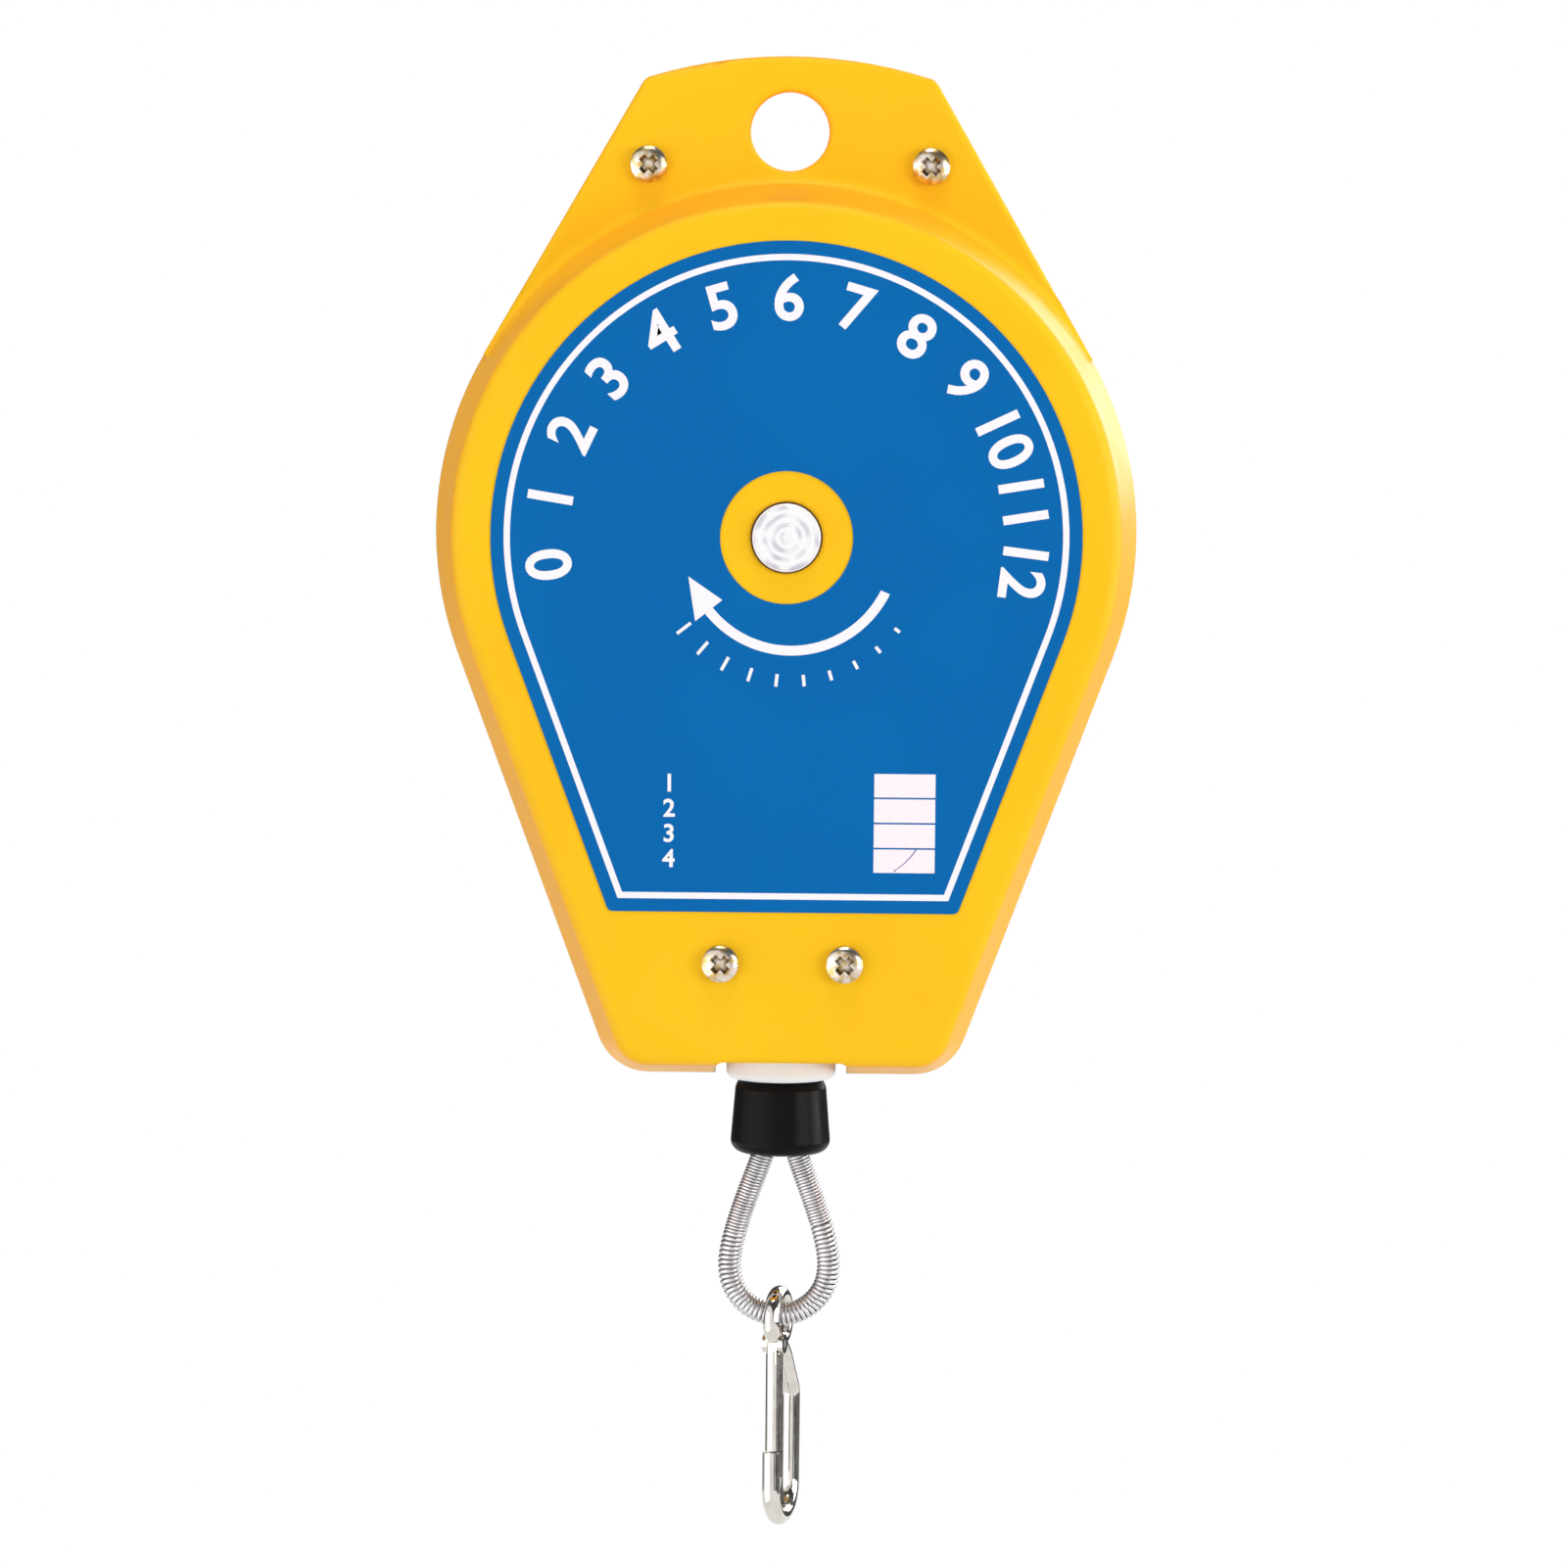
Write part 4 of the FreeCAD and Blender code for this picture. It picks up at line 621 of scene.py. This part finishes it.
class BALANCER_OT_label_border(bpy.types.Operator):
    """Prints the white line that follows the label's edge"""
    bl_idname = "balancer.label_border"
    bl_label = "Label border"

    def execute(self, context):
        label = context.scene.balancer_label
        outlines = []
        for inset in (label.border_in, label.border_in + label.border_width):
            radius, bottom = LABEL_ROUND - inset, LABEL_BOTTOM - inset
            nothing_selected()
            bpy.ops.mesh.primitive_circle_add(
                vertices=192, radius=radius, location=(SHAFT.x, FACE_Y, SHAFT.z),
                rotation=(math.pi / 2, 0, 0),
            )
            outline = context.object
            bpy.ops.object.transform_apply(location=True, rotation=True, scale=True)
            side_top = SHAFT.z - radius * math.sin(SIDE_ANGLE)
            pick(outline, "VERT", lambda corner: corner.co.z < side_top - 0.3 * MM)
            bpy.ops.mesh.delete(type="VERT")
            corner_x = (radius - bottom * math.sin(SIDE_ANGLE)) / math.cos(SIDE_ANGLE)
            bpy.ops.object.mode_set(mode="OBJECT")
            lowest = min(corner.co.z for corner in outline.data.vertices)
            for side in (-1, 1):
                pick(outline, "VERT", lambda corner: corner.co.z < lowest + NEAR and corner.co.x * side > 0)
                bpy.ops.object.mode_set(mode="OBJECT")
                end = next(corner.co.copy() for corner in outline.data.vertices if corner.select)
                bpy.ops.object.mode_set(mode="EDIT")
                bpy.ops.mesh.extrude_region_move(TRANSFORM_OT_translate={
                    "value": (side * corner_x - end.x, 0, SHAFT.z - bottom - end.z),
                })
                bpy.ops.object.mode_set(mode="OBJECT")
            pick(outline, "VERT", lambda corner: corner.co.z < SHAFT.z - bottom + NEAR)
            bpy.ops.mesh.edge_face_add()
            bpy.ops.object.mode_set(mode="OBJECT")
            outlines.append(outline)
        plate = joined(outlines)
        bpy.ops.object.mode_set(mode="EDIT")
        bpy.ops.mesh.select_mode(type="EDGE")
        bpy.ops.mesh.select_all(action="SELECT")
        bpy.ops.mesh.bridge_edge_loops()
        bpy.ops.object.mode_set(mode="OBJECT")
        printed(plate, "label_border", "screen_ink_white", label.ink_height)
        return {"FINISHED"}


class BALANCER_OT_label_dial(bpy.types.Operator):
    """Prints the plain numbers of the dial"""
    bl_idname = "balancer.label_dial"
    bl_label = "Label dial"

    def execute(self, context):
        label = context.scene.balancer_label
        first, last, count = 187.0, -7.0, 13
        step = (last - first) / (count - 1)
        numbers = [
            numeral(str(k), label.numeral, label.dial_radius, first + step * k) for k in range(count)
        ]
        printed(joined(numbers), "label_numbers", "screen_ink_white", label.ink_height)
        return {"FINISHED"}


class BALANCER_OT_label_arrow(bpy.types.Operator):
    """Prints the turning arrow under the spindle and its growing ticks"""
    bl_idname = "balancer.label_arrow"
    bl_label = "Label arrow"

    def execute(self, context):
        label = context.scene.balancer_label
        centre = SHAFT + Vector((0.9 * MM, 0, -1.5 * MM))
        start, end, point = -23.0, -141.4, -163.0
        nothing_selected()
        bpy.ops.mesh.primitive_plane_add(
            size=label.arrow_width, location=on_face(label.arrow_radius, start, centre),
            rotation=(math.pi / 2, -math.radians(start), 0),
        )
        band = context.object
        bpy.ops.object.transform_apply(location=True, rotation=True, scale=True)
        radial = Vector((math.cos(math.radians(start)), 0, math.sin(math.radians(start))))
        along = Vector((radial.z, 0, -radial.x))
        middle = sum((v.co for v in band.data.vertices), Vector()) / 4
        pick(band, "VERT", lambda corner: (corner.co - middle).dot(along) < 0)
        bpy.ops.mesh.delete(type="VERT")
        bpy.ops.mesh.select_all(action="SELECT")
        # The first square already covers half its width, and the band stops where the head begins.
        sweep = math.radians(end - start) + label.arrow_width / 2 / label.arrow_radius
        bpy.ops.mesh.spin(steps=48, angle=sweep, center=(centre.x, FACE_Y, centre.z), axis=(0, 1, 0))
        bpy.ops.object.mode_set(mode="OBJECT")
        nothing_selected()
        tip = on_face(label.arrow_radius + 0.5 * MM, point, centre)
        bpy.ops.mesh.primitive_circle_add(
            vertices=3, radius=label.arrow_width, fill_type="NGON", location=tip,
            rotation=(math.pi / 2, 0, 0),
        )
        head = context.object
        bpy.ops.object.transform_apply(location=True, rotation=True, scale=True)
        inner = on_face(label.arrow_radius - 3.1 * MM, end, centre)
        outer = on_face(label.arrow_radius + 3.2 * MM, end, centre)
        for corner, place in zip(head.data.vertices, (tip, outer, inner)):
            corner.co = place
        printed(joined([band, head]), "label_arrow", "screen_ink_white", label.ink_height)
        ticks = []
        first, last, count = -38.0, -142.0, 10
        for k in range(count):
            degrees = first + (last - first) * k / (count - 1)
            nothing_selected()
            bpy.ops.mesh.primitive_plane_add(
                size=1.0, location=on_face(label.arrow_radius + 5.6 * MM, degrees, centre),
                rotation=(math.pi / 2, -math.radians(degrees), 0),
            )
            context.object.scale = ((1.2 + 0.22 * k) * MM, 0.6 * MM, 1)
            ticks.append(context.object)
        printed(joined(ticks), "label_arrow_ticks", "screen_ink_white", label.ink_height)
        return {"FINISHED"}


class BALANCER_OT_label_boxes(bpy.types.Operator):
    """Prints the four tick boxes with their numbers, and the pen stroke in the last"""
    bl_idname = "balancer.label_boxes"
    bl_label = "Label tick boxes"

    def execute(self, context):
        label = context.scene.balancer_label
        boxes, numbers = [], []
        for row in range(4):
            z = SHAFT.z - label.box_drop - label.box_pitch * row
            nothing_selected()
            bpy.ops.mesh.primitive_plane_add(
                size=1.0, location=(label.box_right, FACE_Y, z), rotation=(math.pi / 2, 0, 0),
            )
            context.object.scale = (label.box_wide, label.box_high, 1)
            boxes.append(context.object)
            number = numeral(str(row + 1), label.row_numeral, 0.0, 90)
            number.location = (-label.row_left, FACE_Y, z)
            numbers.append(number)
        printed(joined(boxes), "label_boxes", "screen_ink_box_white", label.ink_height)
        printed(joined(numbers), "label_row_numbers", "screen_ink_white", label.ink_height)
        last_box = Vector((label.box_right, FACE_Y, z))
        nothing_selected()
        bpy.ops.mesh.primitive_plane_add(
            size=0.3 * MM, location=last_box + Vector((-1.7 * MM, 0, -1.8 * MM)),
            rotation=(math.pi / 2, 0, 0),
        )
        stroke = context.object
        corners = stroke.data.vertices
        pick(stroke, "EDGE", lambda edge: all(corners[i].co.y > 0 for i in edge.vertices))
        # The pen runs right and up, ever steeper, by so many millimetres each time.
        for right, up in ((0.7, 0.4), (1.1, 0.9), (1.2, 1.3), (0.9, 1.2)):
            bpy.ops.mesh.extrude_region_move(TRANSFORM_OT_translate={"value": (right * MM, 0, up * MM)})
        bpy.ops.object.mode_set(mode="OBJECT")
        printed(stroke, "label_pen_stroke", "ballpoint_line", label.ink_height * 1.6)
        return {"FINISHED"}


def route_curve(name, resolution):
    """The smooth line of the rope loop as a curve."""
    line = bpy.data.curves.new(name, "CURVE")
    line.dimensions = "3D"
    spline = line.splines.new("NURBS")
    spline.points.add(len(LOOP_ROUTE) - 1)
    for point, place in zip(spline.points, LOOP_ROUTE):
        point.co = (*place, 1.0)
    spline.order_u = 3
    spline.use_endpoint_u = True
    line.resolution_u = resolution
    return line


def route_line():
    """Closely spaced places on the smooth line of the rope loop."""
    line = route_curve("route_line", 32)
    holder = bpy.data.objects.new("route_line", line)
    mesh = bpy.data.meshes.new_from_object(holder)
    places = [v.co.copy() for v in mesh.vertices]
    bpy.data.objects.remove(holder)
    bpy.data.curves.remove(line)
    bpy.data.meshes.remove(mesh)
    return places


def along_line(places):
    """Running lengths of a line of places."""
    run = [0.0]
    for a, b in zip(places, places[1:]):
        run.append(run[-1] + (b - a).length)
    return run


def at_length(places, run, s):
    """The place and direction at a length along a line."""
    s = min(max(s, 0.0), run[-1])
    low, high = 0, len(run) - 1
    while high - low > 1:
        middle = (low + high) // 2
        if run[middle] <= s:
            low = middle
        else:
            high = middle
    part = (s - run[low]) / (run[high] - run[low])
    direction = (places[high] - places[low]).normalized()
    return places[low].lerp(places[high], part), direction


def wound_wire(places, run, start, end, pitch, phase, rope):
    """A flat wire, about as wide as its pitch, wound round a line from one length along it to another."""
    radius, thick, steps, sides = rope.winding, rope.strip, rope.steps, 8
    across = Vector((0, 1, 0))
    half_wide = pitch * 0.48
    mesh = bmesh.new()
    turns = (end - start) / pitch
    count = int(turns * steps)
    centres = []
    for k in range(count + 1):
        s = start + (end - start) * k / count
        place, direction = at_length(places, run, s)
        out = across.cross(direction).normalized()
        a = phase + 2 * math.pi * turns * k / count
        centres.append(place + (out * math.cos(a) + across * math.sin(a)) * radius)
    rings = []
    for k, centre in enumerate(centres):
        before, after = centres[max(k - 1, 0)], centres[min(k + 1, count)]
        forward = (after - before).normalized()
        place, _ = at_length(places, run, start + (end - start) * k / count)
        outward = centre - place
        outward = (outward - forward * outward.dot(forward)).normalized()
        side = forward.cross(outward)
        rings.append([
            mesh.verts.new(centre + outward * math.cos(t) * thick / 2 + side * math.sin(t) * half_wide)
            for t in (2 * math.pi * j / sides for j in range(sides))
        ])
    for first, second in zip(rings, rings[1:]):
        for j in range(sides):
            k = (j + 1) % sides
            mesh.faces.new((first[j], first[k], second[k], second[j]))
    mesh.faces.new(rings[0][::-1])
    mesh.faces.new(rings[-1])
    for face in mesh.faces:
        face.smooth = True
    return mesh


class BALANCER_OT_rope_loop(bpy.types.Operator):
    """Lays the wire rope of the loop on its smooth line"""
    bl_idname = "balancer.rope_loop"
    bl_label = "Rope loop"

    def execute(self, context):
        rope = context.scene.balancer_rope
        line = route_curve("loop_rope", 16)
        line.bevel_depth = rope.rope / 2
        line.bevel_resolution = 5
        line.use_fill_caps = True
        piece = bpy.data.objects.new("loop_rope", line)
        context.collection.objects.link(piece)
        line.materials.append(bpy.data.materials["galvanised_wire_rope"])
        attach(piece, "rope_end")
        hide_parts("rope_loop")
        return {"FINISHED"}


class BALANCER_OT_loop_sheath(bpy.types.Operator):
    """Winds the bright spring wire round the loop, in three lengths"""
    bl_idname = "balancer.loop_sheath"
    bl_label = "Loop sheath"

    def execute(self, context):
        rope = context.scene.balancer_rope
        places = route_line()
        run = along_line(places)
        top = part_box("loop_sheath")[1].z
        right_seam, left_seam = STOP_TOP - 26.8 * MM, STOP_TOP - 29.1 * MM
        lowest = min(range(len(places)), key=lambda i: places[i].z)
        right_top, right_end = (
            run[next(i for i, place in enumerate(places) if place.z < height)] for height in (top, right_seam)
        )
        left_top, left_end = (
            run[next(i for i, place in enumerate(places) if i > lowest and place.z > height)]
            for height in (top, left_seam)
        )
        # Each length: where it starts and ends along the loop, its pitch, and the turn at which it starts.
        lengths = (
            (right_top, right_end - 0.15 * MM, rope.close_pitch, 0.0),
            (right_end + 0.15 * MM, left_end, rope.open_pitch, 1.0),
            (left_end + 0.05 * MM, left_top, rope.close_pitch, 2.0),
        )
        winding = bpy.data.meshes.new("sheath_wire")
        merged = bmesh.new()
        for start, end, pitch, phase in lengths:
            part = wound_wire(places, run, start, end, pitch, phase, rope)
            part.to_mesh(winding)
            part.free()
            merged.from_mesh(winding)
        merged.to_mesh(winding)
        merged.free()
        piece = bpy.data.objects.new("sheath_wire", winding)
        context.collection.objects.link(piece)
        wire = bpy.data.materials["drawn_spring_wire_bright"]
        finished(piece, "sheath_wire", wire, "rope_end")
        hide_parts("loop_sheath")
        return {"FINISHED"}


class BALANCER_OT_payout_rope(bpy.types.Operator):
    """Makes the rope that pays out between the guide and the stop, in even sections along its length"""
    bl_idname = "balancer.payout_rope"
    bl_label = "Payout rope"

    def execute(self, context):
        rope = context.scene.balancer_rope
        low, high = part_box("rope_payout")
        sections = 24
        nothing_selected()
        bpy.ops.mesh.primitive_cylinder_add(
            vertices=24, radius=rope.rope / 2, depth=high.z - low.z,
            location=(0, 0, (high.z + low.z) / 2),
        )
        piece = context.object
        bpy.ops.object.transform_apply(location=True, rotation=True, scale=True)
        bpy.ops.object.mode_set(mode="EDIT")
        for k in range(1, sections):
            z = low.z + (high.z - low.z) * k / sections
            bpy.ops.mesh.select_all(action="SELECT")
            bpy.ops.mesh.bisect(plane_co=(0, 0, z), plane_no=(0, 0, 1))
        bpy.ops.object.mode_set(mode="OBJECT")
        bpy.ops.object.shade_smooth_by_angle(angle=math.radians(40))
        piece.name = piece.data.name = "payout_rope"
        piece.data.materials.clear()
        piece.data.materials.append(bpy.data.materials["galvanised_wire_rope"])
        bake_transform(piece)
        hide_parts("rope_payout")
        return {"FINISHED"}


def floor_material(stage):
    """Matt painted floor: a plain pale tone near the object that turns to white further off."""
    made, tree, shader = new_material("painted_floor_pale", {
        "Roughness": 0.8, "Base Color": tuple(stage.floor)})
    ray = add_node(tree, "ShaderNodeLightPath", output="Is Camera Ray").node.outputs
    seen = add_node(tree, "ShaderNodeMath", {
        0: ray["Is Camera Ray"], 1: ray["Is Glossy Ray"]}, operation="MAXIMUM")
    seen = add_node(tree, "ShaderNodeMath", {
        0: seen, 1: ray["Is Transmission Ray"]}, operation="MAXIMUM")
    place = add_node(tree, "ShaderNodeTexCoord", output="Object")
    away = add_node(tree, "ShaderNodeVectorMath", {0: place}, "Value", operation="LENGTH")
    fade = add_node(tree, "ShaderNodeMapRange", {
        "Value": away, "From Min": 0.6, "From Max": 3.5, "To Min": 0.8}, interpolation_type="SMOOTHSTEP")
    share = add_node(tree, "ShaderNodeMath", {0: seen, 1: fade}, operation="MULTIPLY")
    glow = add_node(tree, "ShaderNodeEmission", {"Color": (1, 1, 1, 1), "Strength": 1.0})
    mixed = add_node(tree, "ShaderNodeMixShader", {0: share, 1: shader.outputs[0], 2: glow})
    tree.links.new(mixed, tree.nodes["Material Output"].inputs["Surface"])
    return made


def studio_world(stage):
    """The room: white to the eye and evenly soft as light, but dim where gloss mirrors it, with white close
    behind the object and a white panel at the front left, so that metal shows bright and dark stripes."""
    world = bpy.data.worlds.new("studio")
    world.use_nodes = True
    tree = world.node_tree
    tree.nodes.clear()
    ray = add_node(tree, "ShaderNodeLightPath", output="Is Camera Ray").node.outputs
    mirrored = add_node(tree, "ShaderNodeMath", {
        0: ray["Is Glossy Ray"], 1: ray["Is Transmission Ray"]}, operation="MAXIMUM")
    way = add_node(tree, "ShaderNodeTexCoord", output="Generated")
    toward = add_node(tree, "ShaderNodeSeparateXYZ", {0: way}, "Y")
    depth = add_node(tree, "ShaderNodeMapRange", {"Value": toward, "From Min": -1.0})
    room = add_node(tree, "ShaderNodeValToRGB", {0: depth})
    ramp = room.node.color_ramp
    # Brightness of the room from its front, 0, to its back, 1.
    for k, (at, level) in enumerate((
        (0.0, 0.06), (0.3, 0.07), (0.5, 0.16), (0.72, 0.16), (0.88, 0.07), (0.966, 0.07), (0.985, 0.9),
    )):
        stop = ramp.elements[k] if k < 2 else ramp.elements.new(at)
        stop.position, stop.color = at, (level, level, level, 1)
    toward_panel = add_node(tree, "ShaderNodeVectorMath", {
        0: way, 1: (-0.6, -0.7, -0.38)}, "Value", operation="DOT_PRODUCT")
    panel = add_node(tree, "ShaderNodeMapRange", {
        "Value": toward_panel, "From Min": 0.3, "From Max": 0.45}, interpolation_type="SMOOTHSTEP")
    shown = add_node(tree, "ShaderNodeMath", {0: room, 1: panel}, operation="MAXIMUM")
    unseen = add_node(tree, "ShaderNodeMix", {
        0: mirrored, 2: stage.ambient, 3: shown}, data_type="FLOAT")
    strength = add_node(tree, "ShaderNodeMix", {
        0: ray["Is Camera Ray"], 2: unseen, 3: 1.0}, data_type="FLOAT")
    sky = add_node(tree, "ShaderNodeBackground", {"Color": (1, 1, 1, 1), "Strength": strength})
    add_node(tree, "ShaderNodeOutputWorld", {"Surface": sky})
    return world


def soft_lamp(name, place, size, watts):
    """A square lamp that looks at the middle of the object."""
    middle = Vector((0, 0, -0.12))
    lamp = bpy.data.lights.new(name, "AREA")
    lamp.shape = "SQUARE"
    lamp.size = size
    lamp.energy = watts
    holder = bpy.data.objects.new(name, lamp)
    holder.location = place
    holder.rotation_euler = (middle - Vector(place)).to_track_quat("-Z", "Y").to_euler()
    bpy.context.collection.objects.link(holder)


def front_camera():
    """The camera, 1.2 m in front of the spindle, 0.1 m above the object's middle and tilted down to it."""
    camera = bpy.data.cameras.new("camera")
    camera.sensor_width = 36.0
    camera.lens = 148.5
    camera.clip_start = 0.05
    camera.clip_end = 30.0
    view = bpy.data.objects.new("camera", camera)
    view.location = (-0.003, -1.2, -0.0204)
    turn, tilt, lean = math.radians(-0.145), math.radians(90 - 4.784), math.radians(0.57)
    aimed = Matrix.Rotation(turn, 4, "Z") @ Matrix.Rotation(tilt, 4, "X") @ Matrix.Rotation(lean, 4, "Z")
    view.rotation_euler = aimed.to_euler()
    bpy.context.collection.objects.link(view)
    return view


class BALANCER_OT_stage(bpy.types.Operator):
    """Sets the pale floor, the soft lamps and the camera"""
    bl_idname = "balancer.stage"
    bl_label = "Stage"

    def execute(self, context):
        stage = context.scene.balancer_stage
        nothing_selected()
        bpy.ops.mesh.primitive_plane_add(size=12, location=(0, 0, -1.8))
        floor = context.object
        floor.name = "floor"
        floor.data.materials.append(floor_material(stage))
        context.scene.world = studio_world(stage)
        soft_lamp("key_softbox", (1.35, -0.95, 0.0), 1.0, stage.key)
        soft_lamp("side_softbox", (-1.25, -0.85, -0.45), 1.8, stage.side)
        soft_lamp("edge_softbox", (1.4, 0.15, -0.15), 0.6, stage.edge)
        soft_lamp("top_softbox", (0.0, -0.35, 1.2), 0.6, stage.top)
        soft_lamp("back_softbox", (0.9, 1.1, 0.5), 1.2, stage.back)
        context.scene.camera = front_camera()
        context.scene.view_settings.view_transform = "Standard"
        return {"FINISHED"}


class BALANCER_PT_panel(bpy.types.Panel):
    """Lists the sizes, the colours and the steps"""
    bl_idname = "BALANCER_PT_panel"
    bl_label = "Tool balancer"
    bl_space_type = "VIEW_3D"
    bl_region_type = "UI"
    bl_category = "Balancer"

    def draw(self, context):
        layout = self.layout
        for group in ("balancer_finish", "balancer_label", "balancer_rope", "balancer_stage"):
            values = getattr(context.scene, group)
            box = layout.box()
            for name in type(values).__annotations__:
                box.prop(values, name)
        for step in STEPS:
            layout.operator(step.bl_idname)


STEPS = (
    BALANCER_OT_finishes, BALANCER_OT_case_screws, BALANCER_OT_label_border, BALANCER_OT_label_dial,
    BALANCER_OT_label_arrow, BALANCER_OT_label_boxes, BALANCER_OT_rope_loop, BALANCER_OT_loop_sheath,
    BALANCER_OT_payout_rope, BALANCER_OT_stage,
)
GROUPS = {
    "balancer_finish": BalancerFinish, "balancer_label": BalancerLabel, "balancer_rope": BalancerRope,
    "balancer_stage": BalancerStage,
}


def register():
    for made in (*GROUPS.values(), *STEPS, BALANCER_PT_panel):
        bpy.utils.register_class(made)
    for name, group in GROUPS.items():
        setattr(bpy.types.Scene, name, PointerProperty(type=group))


def unregister():
    for name in GROUPS:
        delattr(bpy.types.Scene, name)
    for made in reversed((*GROUPS.values(), *STEPS, BALANCER_PT_panel)):
        bpy.utils.unregister_class(made)


def main():
    register()
    bpy.ops.balancer.finishes()
    bpy.ops.balancer.case_screws()
    bpy.ops.balancer.label_border()
    bpy.ops.balancer.label_dial()
    bpy.ops.balancer.label_arrow()
    bpy.ops.balancer.label_boxes()
    bpy.ops.balancer.rope_loop()
    bpy.ops.balancer.loop_sheath()
    bpy.ops.balancer.payout_rope()
    bpy.ops.balancer.stage()


if __name__ == "__main__":
    main()
